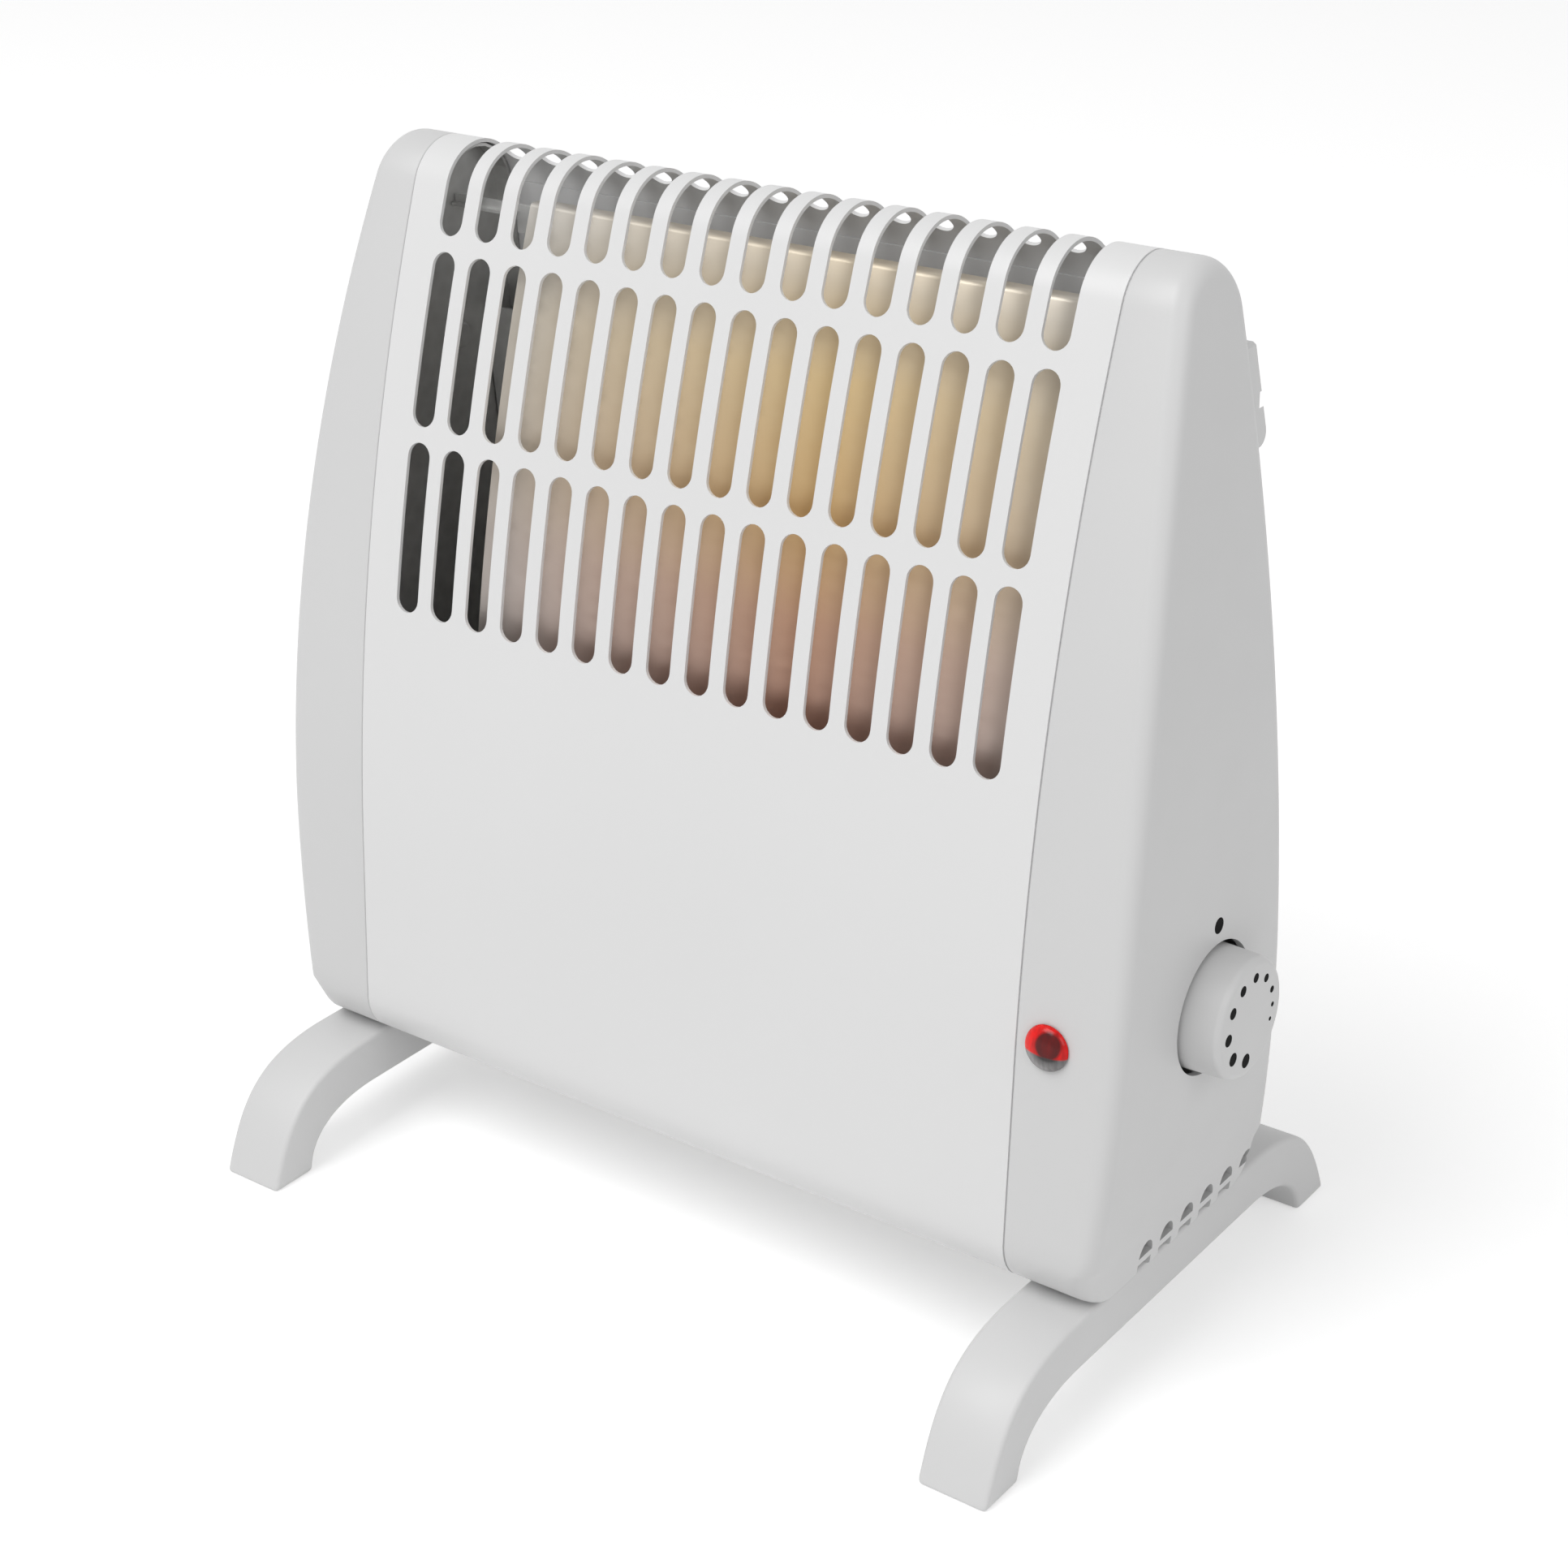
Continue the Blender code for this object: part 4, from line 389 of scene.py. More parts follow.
def on_arc(centre_y, centre_z, radius, height, side):
    """An arc's point at a height, on its front side (-1) or its back side (1), and its outward direction."""
    rise = max(-1.0, min(1.0, (height - centre_z) / radius))
    run = side * math.sqrt(1 - rise * rise)
    return Vector((centre_y + radius * run, height)), Vector((run, rise))


def front_at(height):
    """The front wall's point and outward direction at a height."""
    low = FILLET_Z + BASE_FILLET * math.sin(FRONT_LEAN)
    high = FRONT_CENTRE_Z + FRONT_RADIUS * math.sin(FRONT_LEAN)
    if height <= low:
        return on_arc(FRONT_FILLET_Y, FILLET_Z, BASE_FILLET, height, -1)
    if height >= TOP_CENTRE_Z + TOP_RADIUS * math.sin(FRONT_TOP):
        return on_arc(TOP_CENTRE_Y, TOP_CENTRE_Z, TOP_RADIUS, height, -1)
    if height >= high:
        return on_arc(FRONT_CENTRE_Y, FRONT_CENTRE_Z, FRONT_RADIUS, height, -1)
    start, along = on_arc(FRONT_CENTRE_Y, FRONT_CENTRE_Z, FRONT_RADIUS, high, -1)
    return Vector((start.x - (high - height) * math.tan(FRONT_LEAN), height)), along


def back_at(height):
    """The back wall's point and outward direction at a height."""
    if height <= FILLET_Z + BASE_FILLET * math.sin(BACK_LEAN):
        return on_arc(BACK_FILLET_Y, FILLET_Z, BASE_FILLET, height, 1)
    if height >= BACK_TOP_Z:
        return on_arc(TOP_CENTRE_Y, TOP_CENTRE_Z, TOP_RADIUS, height, 1)
    return on_arc(BACK_CENTRE_Y, BACK_CENTRE_Z, BACK_RADIUS, height, 1)


def levels():
    """Heights of the outline's points: close together round the fillet and over the top."""
    found = []
    for k in range(FILLET_STEPS):
        found.append(FILLET_Z - BASE_FILLET * math.cos(math.pi / 2 * k / FILLET_STEPS))
    for k in range(WALL_STEPS):
        found.append(FILLET_Z + (BACK_TOP_Z - FILLET_Z) * k / WALL_STEPS)
    for k in range(TOP_STEPS):
        turn = BACK_TOP + (math.pi / 2 - BACK_TOP) * k / TOP_STEPS
        found.append(TOP_CENTRE_Z + TOP_RADIUS * math.sin(turn))
    return found


LEVELS = levels()
RIDGE = (Vector((TOP_CENTRE_Y, TOP_Z)), Vector((0, 1)))


def cap_side(height):
    """How far a cap's domed side stands out at a height."""
    radius = CAP_UPPER_RADIUS if height > CAP_WIDEST_Z else CAP_LOWER_RADIUS
    return CAP_WIDEST_X - radius + math.sqrt(radius**2 - (height - CAP_WIDEST_Z) ** 2)


SHARP_EDGE = math.radians(32)


def new_piece(name, bm, material, slot, body, *nodes):
    """Turns a bmesh in the casing's own space into a piece that rides on a body and stands for its nodes."""
    bmesh.ops.recalc_face_normals(bm, faces=bm.faces)
    bmesh.ops.translate(bm, vec=(SHIFT_X, 0, 0), verts=bm.verts)
    mesh = bpy.data.meshes.new(name)
    bm.to_mesh(mesh)
    bm.free()
    piece = bpy.data.objects.new(name, mesh)
    bpy.context.scene.collection.objects.link(piece)
    mesh.materials.append(material)
    mesh.shade_smooth()
    mesh.set_sharp_from_angle(angle=SHARP_EDGE)
    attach(piece, body)
    if nodes:
        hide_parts(*nodes)


def cut_out(bm, punches):
    """Cuts closed meshes out of a closed mesh and gives the result as a bmesh."""
    bmesh.ops.recalc_face_normals(bm, faces=bm.faces)
    mesh = bpy.data.meshes.new("blank")
    bm.to_mesh(mesh)
    bm.free()
    blank = bpy.data.objects.new("blank", mesh)
    bpy.context.scene.collection.objects.link(blank)
    tools = []
    for punch in punches:
        bmesh.ops.recalc_face_normals(punch, faces=punch.faces)
        tool_mesh = bpy.data.meshes.new("punch")
        punch.to_mesh(tool_mesh)
        punch.free()
        tool = bpy.data.objects.new("punch", tool_mesh)
        bpy.context.scene.collection.objects.link(tool)
        boolean = blank.modifiers.new("cut", "BOOLEAN")
        boolean.operation = "DIFFERENCE"
        boolean.solver = "EXACT"
        boolean.object = tool
        tools.append(tool)
    graph = bpy.context.evaluated_depsgraph_get()
    result = bmesh.new()
    result.from_object(blank, graph)
    for item in [blank, *tools]:
        bpy.data.objects.remove(item, do_unlink=True)
    return result


def to_axis(direction):
    """The turn that takes the upward axis to a direction."""
    return Vector((0, 0, 1)).rotation_difference(Vector(direction)).to_matrix().to_4x4()


def add_rod(bm, start, end, radius, segments=48):
    """A closed cylinder between two points."""
    start, end = Vector(start), Vector(end)
    matrix = Matrix.Translation((start + end) / 2) @ to_axis(end - start)
    bmesh.ops.create_cone(
        bm,
        cap_ends=True,
        segments=segments,
        radius1=radius,
        radius2=radius,
        depth=(end - start).length,
        matrix=matrix,
    )


def add_block(bm, low, high):
    """A closed box between two corners."""
    low, high = Vector(low), Vector(high)
    matrix = Matrix.Translation((low + high) / 2) @ Matrix.Diagonal((*(high - low), 1))
    bmesh.ops.create_cube(bm, size=1, matrix=matrix)


def add_prism(bm, outline, shift):
    """A flat outline of points in space, pushed along a shift to a closed solid."""
    face = bm.faces.new([bm.verts.new(point) for point in outline])
    pushed = bmesh.ops.extrude_face_region(bm, geom=[face])
    moved = [item for item in pushed["geom"] if isinstance(item, bmesh.types.BMVert)]
    bmesh.ops.translate(bm, vec=Vector(shift), verts=moved)


def add_turned(bm, profile, start, direction, segments=64):
    """A turned solid: (radius, height) pairs from one pole to the other, about a line."""
    matrix = Matrix.Translation(Vector(start)) @ to_axis(direction)
    rings = []
    for radius, height in profile:
        if radius == 0:
            rings.append([bm.verts.new(matrix @ Vector((0, 0, height)))])
            continue
        ring = []
        for k in range(segments):
            turn = 2 * math.pi * k / segments
            spot = Vector((radius * math.cos(turn), radius * math.sin(turn), height))
            ring.append(bm.verts.new(matrix @ spot))
        rings.append(ring)
    for ring0, ring1 in zip(rings, rings[1:]):
        for k in range(segments):
            j = (k + 1) % segments
            corners = [ring0[k % len(ring0)], ring0[j % len(ring0)]]
            corners += [ring1[j % len(ring1)], ring1[k % len(ring1)]]
            corners = [v for i, v in enumerate(corners) if v not in corners[:i]]
            if len(corners) > 2:
                bm.faces.new(corners)


# End caps

SEAM_STEPS = 3
CORNER_STEPS = 8
INNER_STEPS = 4


def cap_corner(direction):
    """A cap's corner radius by the wall's direction: even on walls and top, wider at the toe, small below."""
    fall = max(0.0, -direction.y)
    return CAP_CORNER - (CAP_CORNER - CAP_BASE_CORNER) * fall + 4 * CAP_TOE_SWELL * fall * (1 - fall)


def cap_ring(side, inset, turn, seam_shift=None):
    """One ring of a cap's surface, from the foot of the front up, over the ridge and down the back."""
    walk = [front_at(height) for height in LEVELS] + [RIDGE]
    walk += [back_at(height) for height in reversed(LEVELS)]
    points = []
    for spot, outward in walk:
        if seam_shift is not None:
            spot = spot - outward * inset
            points.append((side * (SEAM_X + SEAT_GAP + seam_shift), spot.x, spot.y))
            continue
        corner = max(cap_corner(outward) - inset, CAP_LEAST_CORNER)
        place = spot - outward * (inset + corner * (1 - math.cos(turn)))
        reach = cap_side(place.y) - inset - corner * (1 - math.sin(turn))
        points.append((side * reach, place.x, place.y))
    return points


def add_cap_surface(bm, rings):
    """Joins rings of points with faces and closes the last one across. Gives the first ring's vertices."""
    loops = [[bm.verts.new(point) for point in ring] for ring in rings]
    count = len(loops[0])
    for ring0, ring1 in zip(loops, loops[1:]):
        for k in range(count):
            j = (k + 1) % count
            bm.faces.new((ring0[k], ring0[j], ring1[j], ring1[k]))
    last = loops[-1]
    for k in range(count // 2 - 1):
        bm.faces.new((last[k], last[count - 1 - k], last[count - 2 - k], last[k + 1]))
    bm.faces.new((last[count // 2 - 1], last[count // 2 + 1], last[count // 2]))
    return loops[0]


def cap_blank(side):
    """A closed cap without its holes: rounded seam edge, domed side, and a locating lip behind the seam."""
    bm = bmesh.new()
    edge = CAP_SEAM_EDGE
    quarter = math.pi / 2
    outer = []
    for k in range(SEAM_STEPS + 1):
        turn = quarter * k / SEAM_STEPS
        outer.append(cap_ring(side, edge * (1 - math.sin(turn)), 0, edge * (1 - math.cos(turn))))
    outer += [cap_ring(side, 0.0, quarter * k / CORNER_STEPS) for k in range(CORNER_STEPS + 1)]
    lip = CAP_LIP_INSET
    inner = [cap_ring(side, edge, 0, -CAP_GROOVE), cap_ring(side, lip, 0, -CAP_GROOVE)]
    inner += [cap_ring(side, lip, 0, -CAP_LIP), cap_ring(side, CAP_WALL, 0, -CAP_LIP)]
    inner += [cap_ring(side, CAP_WALL, quarter * k / INNER_STEPS) for k in range(INNER_STEPS + 1)]
    rim0 = add_cap_surface(bm, outer)
    rim1 = add_cap_surface(bm, inner)
    for k in range(len(rim0)):
        j = (k + 1) % len(rim0)
        bm.faces.new((rim0[k], rim0[j], rim1[j], rim1[k]))
    return bm


VENTS = 6
VENT_PITCH = 10.2 * MM
VENT_WIDTH = 6.4 * MM
VENT_HEIGHT = 4.2 * MM
VENT_SILL_Z = 36.3 * MM
VENT_BAR = 2.0 * MM
SLIT_DEPTH = 9.0 * MM
VENT_LAST_Y = BACK_FILLET_Y + 5.0 * MM
VENT_STEPS = 16
PUNCH_SPARE = 5.0 * MM
PUNCH_DEPTH = 20.0 * MM
FOOT_OUTER_X = 131.0 * MM
FOOT_WIDTH = 20.3 * MM
FOOT_MIDDLE_X = FOOT_OUTER_X - FOOT_WIDTH / 2


def vent_punches(side):
    """Half-round vents and the flat ones below them, each kind in a mesh of its own."""
    arches = bmesh.new()
    slits = bmesh.new()
    low_x = FOOT_MIDDLE_X + PUNCH_SPARE
    for number in range(VENTS):
        y = VENT_LAST_Y - number * VENT_PITCH
        arch = []
        for k in range(VENT_STEPS + 1):
            angle = math.pi * k / VENT_STEPS
            z = VENT_SILL_Z + VENT_HEIGHT * math.sin(angle)
            arch.append((side * low_x, y + VENT_WIDTH / 2 * math.cos(angle), z))
        add_prism(arches, arch, (side * PUNCH_DEPTH, 0, 0))
        if y + VENT_WIDTH / 2 > BACK_FILLET_Y:
            continue
        edge = side * (cap_side(BASE_Z) - SLIT_DEPTH)
        low_end, high_end = sorted((edge, edge + side * PUNCH_DEPTH))
        low = (low_end, y - VENT_WIDTH / 2, BASE_Z - PUNCH_SPARE)
        add_block(slits, low, (high_end, y + VENT_WIDTH / 2, VENT_SILL_Z - VENT_BAR))
    return [arches, slits]


def wall_frame(at, x, height):
    """A point of a wall and its outward direction in space."""
    spot, outward = at(height)
    return Vector((x, spot.x, spot.y)), Vector((0, outward.x, outward.y))


LAMP_SPOT, LAMP_OUT = wall_frame(front_at, LAMP_X, LAMP_Z)
GLAND_SPOT, GLAND_OUT = wall_frame(back_at, GLAND_X, GLAND_Z)
KNOB_HOLE_RADIUS = 17.7 * MM
LAMP_HOLE_RADIUS = 5.5 * MM
GLAND_HOLE_RADIUS = 7.3 * MM
HOLE_REACH = 7.0 * MM


def end_cap(side, word):
    """A finished cap: both have vents, and the right one has holes for the knob, the lamp and the inlet."""
    punches = vent_punches(side)
    if side > 0:
        hole = bmesh.new()
        middle = Vector((cap_side(KNOB_Z), KNOB_Y, KNOB_Z))
        reach = Vector((HOLE_REACH, 0, 0))
        add_rod(hole, middle - reach, middle + reach, KNOB_HOLE_RADIUS, segments=96)
        inner, outer = LAMP_OUT * HOLE_REACH, LAMP_OUT * PUNCH_SPARE
        add_rod(hole, LAMP_SPOT - inner, LAMP_SPOT + outer, LAMP_HOLE_RADIUS)
        reach = GLAND_OUT * HOLE_REACH
        add_rod(hole, GLAND_SPOT - reach, GLAND_SPOT + reach, GLAND_HOLE_RADIUS)
        punches.append(hole)
    bm = cut_out(cap_blank(side), punches)
    look = LOOKS["white_plastic"]
    new_piece(f"cap_moulding_{word}", bm, look, "white_plastic", "casing", f"end_cap_{word}")


end_cap(1, "right")
end_cap(-1, "left")

# Wrap-over panel: punched flat, then folded along the outline

SLOT_PITCH = 12.5 * MM
SLOT_WIDTH = 7.8 * MM
SLOT_LENGTH = 46.6 * MM
SLOT_ROW_GAP = 4.2 * MM
SLOTS_IN_ROW = 16
LOWEST_SLOT_Z = 164.1 * MM
SLOT_BACK_ANGLE = math.radians(32)
SLOT_END_STEPS = 12
TOUCH = 1e-9
FOLD_TOUCH = 1e-7


def panel_path():
    """The panel's outer face, from the base return to the top of the back: points and outward directions."""
    foot = (Vector((FRONT_FILLET_Y + BASE_RETURN, BASE_Z)), Vector((0, -1)))
    path = [foot] + [front_at(height) for height in LEVELS] + [RIDGE]
    return path + [back_at(height) for height in reversed(LEVELS) if height > BACK_TOP_Z - TOUCH]


def running_lengths(path):
    """How far along the flat sheet each point of the path lies."""
    total = [0.0]
    for (before, _), (after, _) in zip(path, path[1:]):
        total.append(total[-1] + (after - before).length)
    return total


def front_length(path, total, height):
    """How far along the flat sheet the front wall reaches a height."""
    k = max(i for i, level in enumerate(LEVELS) if level <= height) + 1
    low, high = path[k][0].y, path[k + 1][0].y
    return total[k] + (height - low) / (high - low) * (total[k + 1] - total[k])


def add_slot(bm, x, start, end):
    """A round-ended punch through the flat sheet, from one place along it to another."""
    outline = []
    radius = SLOT_WIDTH / 2
    for turn, centre in ((0, end - radius), (math.pi, start + radius)):
        for k in range(SLOT_END_STEPS + 1):
            angle = turn + math.pi * k / SLOT_END_STEPS
            outline.append((x + radius * math.cos(angle), centre + radius * math.sin(angle), -PUNCH_SPARE))
    add_prism(bm, outline, (0, 0, 2 * PUNCH_SPARE))


def slot_punches(lowest, back_end):
    """All the slots in one mesh: three rows, of which the last runs over the ridge."""
    punch = bmesh.new()
    step = SLOT_LENGTH + SLOT_ROW_GAP
    rows = (
        (lowest, lowest + SLOT_LENGTH),
        (lowest + step, lowest + step + SLOT_LENGTH),
        (lowest + 2 * step, back_end),
    )
    for number in range(SLOTS_IN_ROW):
        x = (number - (SLOTS_IN_ROW - 1) / 2) * SLOT_PITCH
        for start, end in rows:
            add_slot(punch, x, start, end)
    return punch


def fold(bm, path, total):
    """Bends the flat sheet along the path: each vertex keeps its place across and its depth in the sheet."""
    for vertex in bm.verts:
        along, depth = vertex.co.y, -vertex.co.z
        k = 0
        while k < len(total) - 2 and along > total[k + 1]:
            k += 1
        share = (along - total[k]) / (total[k + 1] - total[k])
        low = path[k][0] - path[k][1] * depth
        high = path[k + 1][0] - path[k + 1][1] * depth
        place = low.lerp(high, share)
        vertex.co = (vertex.co.x, place.x, place.y)


def wrap_panel():
    """The flat sheet, split at its fold lines, with all its slots punched, and then folded."""
    path = panel_path()
    total = running_lengths(path)
    bm = bmesh.new()
    add_block(bm, (-SEAM_X, 0, -SHEET), (SEAM_X, total[-1], 0))
    for line in total[1:-1]:
        geometry = bm.verts[:] + bm.edges[:] + bm.faces[:]
        bmesh.ops.bisect_plane(bm, geom=geometry, dist=FOLD_TOUCH, plane_co=(0, line, 0), plane_no=(0, 1, 0))
    ridge = total[path.index(RIDGE)]
    back_end = ridge + TOP_RADIUS * (math.pi / 2 - SLOT_BACK_ANGLE)
    bm = cut_out(bm, [slot_punches(front_length(path, total, LOWEST_SLOT_Z), back_end)])
    fold(bm, path, total)
    new_piece("slotted_casing", bm, LOOKS["white_enamel"], "white_enamel", "casing", "front_panel")


wrap_panel()

# Deflector behind the slots, its strap, and the flat-headed screws that show beside it

DEFLECTOR_DEPTH = 10.0 * MM
DEFLECTOR_LEFT_X = -76.0 * MM
DEFLECTOR_RIGHT_X = 103.9 * MM
DEFLECTOR_BOTTOM_Z = 146.0 * MM
DEFLECTOR_TOP_Z = 273.5 * MM
DEFLECTOR_FLANGE = 5.0 * MM
DEFLECTOR_STEPS = 24
BEND_STEPS = 4
PLATE = 0.8 * MM
STRAP_DROP = 0.2 * MM
STRAP_BAND = 3.0 * MM
STRAP_LAP = 3.0 * MM
STRAP_LIP = 1.5 * MM
STRAP_TAB = 7.5 * MM
STRAP_TAB_X = -82.0 * MM


def deflector_sheet():
    """One bent sheet: it follows the front wall, and its top edge is folded back round a small bend."""
    line = []
    height = DEFLECTOR_TOP_Z - PLATE - DEFLECTOR_BOTTOM_Z
    for k in range(DEFLECTOR_STEPS + 1):
        spot, outward = front_at(DEFLECTOR_BOTTOM_Z + height * k / DEFLECTOR_STEPS)
        line.append(spot - outward * DEFLECTOR_DEPTH)
    outward = front_at(DEFLECTOR_TOP_Z)[1]
    climb = Vector((-outward.y, outward.x)) * (1 if outward.x > 0 else -1)
    bend = line[-1]
    for k in range(1, BEND_STEPS + 1):
        turn = math.pi / 2 * k / BEND_STEPS
        line.append(bend + climb * PLATE * math.sin(turn) + Vector((PLATE * (1 - math.cos(turn)), 0)))
    line.append(line[-1] + Vector((DEFLECTOR_FLANGE - PLATE, -PLATE / 2)))
    bm = bmesh.new()
    corners = []
    for k, spot in enumerate(line):
        before, after = line[max(k - 1, 0)], line[min(k + 1, len(line) - 1)]
        along = (after - before).normalized()
        across = Vector((along.y, -along.x)) * PLATE / 2
        corners.append((spot + across, spot - across))
    outline = [pair[0] for pair in corners] + [pair[1] for pair in reversed(corners)]
    points = [(DEFLECTOR_LEFT_X, spot.x, spot.y) for spot in outline]
    add_prism(bm, points, (DEFLECTOR_RIGHT_X - DEFLECTOR_LEFT_X, 0, 0))
    # The deflector wears the sheet look with the painted warm glow
    new_piece("deflector_sheet", bm, LOOKS["warm_glow_painted"], "galvanised_steel", "casing", "heat_deflector")
    return bend


def strap_with_tab(bend):
    """The strap from the left end plate to the deflector's top edge, its lip below and a tab at the end."""
    back, top = bend.x + PLATE, bend.y - STRAP_DROP
    left, right = -DEFLECTOR_RIGHT_X, DEFLECTOR_LEFT_X + STRAP_LAP
    low, front = top - STRAP_BAND, back - STRAP_LIP
    band = [(left, top), (right, top), (right, top - STRAP_TAB), (STRAP_TAB_X, top - STRAP_TAB)]
    band += [(STRAP_TAB_X, low), (left, low)]
    bm = bmesh.new()
    add_prism(bm, [(x, back, z) for x, z in band], (0, PLATE, 0))
    lip = [(back, low), (front, low), (front, low + PLATE), (back, low + PLATE)]
    add_prism(bm, [(left, y, z) for y, z in lip], (STRAP_TAB_X - left, 0, 0))
    look = LOOKS["galvanised_steel"]
    new_piece("strap_with_tab", bm, look, "galvanised_steel", "casing", "deflector_strap")


strap_with_tab(deflector_sheet())

SCREW_FACE_X = 104.2 * MM
SCREW_PROFILE_MM = ((0, 0.9), (3.2, 0.9), (3.8, 0.35), (1.9, 0.35), (1.9, -9), (0, -10))


def flat_screw(node):
    """A flat-headed screw in the place of one of the cap screws, its head thin against the plate."""
    low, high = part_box(node)
    middle = (Vector(low) + Vector(high)) / 2
    side = 1 if middle.x - SHIFT_X > 0 else -1
    bm = bmesh.new()
    profile = [(radius * MM, height * MM) for radius, height in SCREW_PROFILE_MM]
    add_turned(bm, profile, (side * SCREW_FACE_X, middle.y, middle.z), (-side, 0, 0), segments=32)
    new_piece("flat_" + node, bm, LOOKS["galvanised_steel"], "plated_steel", "casing", node)


flat_screw("cap_screw_left_upper")
flat_screw("cap_screw_right_upper")

# Feet

FOOT_REACH = 86.5 * MM
FOOT_TOE = 15.0 * MM
FOOT_BEAM = 14.5 * MM
FOOT_TOP_Z = BASE_Z - SEAT_GAP
FOOT_SHOULDER_Y = 44.0 * MM
FOOT_EDGE = 1.4 * MM
FOOT_EDGE_STEPS = 4
FOOT_SHARP = math.radians(50)
FOOT_STEPS = 24
FOOT_OUTER_PULL = (0.24, 0.62, 0.9)
FOOT_INNER_PULL = (0.1, 0.75, 0.8)
FOOT_SCREW_INSET = 8.0 * MM
FOOT_RECESS_RADIUS = 4.1 * MM
FOOT_RECESS_DEPTH = 2.7 * MM


def foot_curve(reach, top, pull):
    """Half a foot's curve in (y, z), from toe to shoulder; pull says how it leans, rises and runs."""
    lean, rise, run = pull
    ends = (
        (reach, 0),
        (reach - lean * top, rise * top),
        (FOOT_SHOULDER_Y + run * top, top),
        (FOOT_SHOULDER_Y, top),
    )
    points = []
    for k in range(FOOT_STEPS):
        t = k / FOOT_STEPS
        weights = ((1 - t) ** 3, 3 * t * (1 - t) ** 2, 3 * t * t * (1 - t), t**3)
        points.append(tuple(sum(w * p[i] for w, p in zip(weights, ends)) for i in (0, 1)))
    return points + [ends[-1]]


def foot(side, word):
    """An arched foot with flat toes, rounded edges and recesses below for its screws."""
    under = FOOT_TOP_Z - FOOT_BEAM
    upper = foot_curve(FOOT_REACH, FOOT_TOP_Z, FOOT_OUTER_PULL)
    lower = foot_curve(FOOT_REACH - FOOT_TOE, under, FOOT_INNER_PULL)
    outline = upper + [(-y, z) for y, z in reversed(upper)]
    outline += [(-y, z) for y, z in lower] + lower[::-1]
    low_x = side * (FOOT_OUTER_X - FOOT_WIDTH)
    bm = bmesh.new()
    add_prism(bm, [(low_x, y, z) for y, z in outline], (side * FOOT_WIDTH, 0, 0))
    bmesh.ops.recalc_face_normals(bm, faces=bm.faces)
    rims = [edge for edge in bm.edges if edge.is_manifold and edge.calc_face_angle() > FOOT_SHARP]
    bmesh.ops.bevel(
        bm,
        geom=rims,
        offset=FOOT_EDGE,
        segments=FOOT_EDGE_STEPS,
        profile=0.5,
        affect="EDGES",
        clamp_overlap=True,
    )
    recesses = bmesh.new()
    x = side * FOOT_MIDDLE_X
    for y in (FRONT_FILLET_Y + FOOT_SCREW_INSET, BACK_FILLET_Y - FOOT_SCREW_INSET):
        add_rod(recesses, (x, y, under - PUNCH_SPARE), (x, y, under + FOOT_RECESS_DEPTH), FOOT_RECESS_RADIUS)
    bm = cut_out(bm, [recesses])
    new_piece(f"foot_moulding_{word}", bm, LOOKS["foot_plastic"], "foot_plastic", "casing", f"foot_{word}")


foot(1, "right")
foot(-1, "left")

# Knob with its ring of dots, and the index dot on the cap

KNOB_SKIRT_X = 131.0 * MM
KNOB_RADIUS = 16.5 * MM
KNOB_TIP_RADIUS = 15.9 * MM
KNOB_EDGE = 2.0 * MM
KNOB_WALL = 2.0 * MM
KNOB_FACE_WALL = 4.0 * MM
KNOB_BOSS_RADIUS = 5.5 * MM
KNOB_BOSS_START = 2.0 * MM
KNOB_BOSS_END = 2.0 * MM
KNOB_EDGE_STEPS = 12


def round_knob():
    """The hollow knob, with a rounded rim and the boss that the spindle sits in."""
    height = KNOB_FACE_X - KNOB_SKIRT_X
    profile = [(0, height)]
    for k in range(KNOB_EDGE_STEPS + 1):
        angle = math.pi / 2 * (1 - k / KNOB_EDGE_STEPS)
        radius = KNOB_TIP_RADIUS - KNOB_EDGE + KNOB_EDGE * math.cos(angle)
        profile.append((radius, height - KNOB_EDGE + KNOB_EDGE * math.sin(angle)))
    profile += [(KNOB_RADIUS, 0), (KNOB_RADIUS - KNOB_WALL, 0)]
    profile += [(KNOB_TIP_RADIUS - KNOB_WALL, height - KNOB_FACE_WALL)]
    profile += [(KNOB_BOSS_RADIUS, height - KNOB_BOSS_END)]
    profile += [(KNOB_BOSS_RADIUS, KNOB_BOSS_START), (0, KNOB_BOSS_START)]
    bm = bmesh.new()
    add_turned(bm, profile, (KNOB_SKIRT_X, KNOB_Y, KNOB_Z), (1, 0, 0), segments=128)
    new_piece("round_knob", bm, LOOKS["white_plastic"], "white_plastic", "knob", "thermostat_knob")


# The dots' angles round the knob are in degrees, and their widths in millimetres
DOT_RING = 11.0 * MM
DOT_ANGLES = (-24, -4, 20, 50, 81, 114.5, 147, 183.6, 221.6, 261.5)
DOT_WIDTHS = (1.2, 1.4, 1.9, 2.3, 2.6, 2.9, 3.1, 3.3, 3.6, 3.8)
DOT_RISE = 0.05 * MM
DOT_INDEX = 4.3 * MM
DOT_INDEX_RISE = 22.6 * MM
DOT_INDEX_SHIFT_Y = 0.8 * MM


def add_dot(bm, spot, outward, width, segments):
    """A dot of ink, half sunk in its face, with a fine bevel round it."""
    radius = width / 2
    profile = [(0, 2 * DOT_RISE), (radius - DOT_RISE, 2 * DOT_RISE), (radius, 0), (0, 0)]
    add_turned(bm, profile, spot - outward * DOT_RISE, outward, segments)


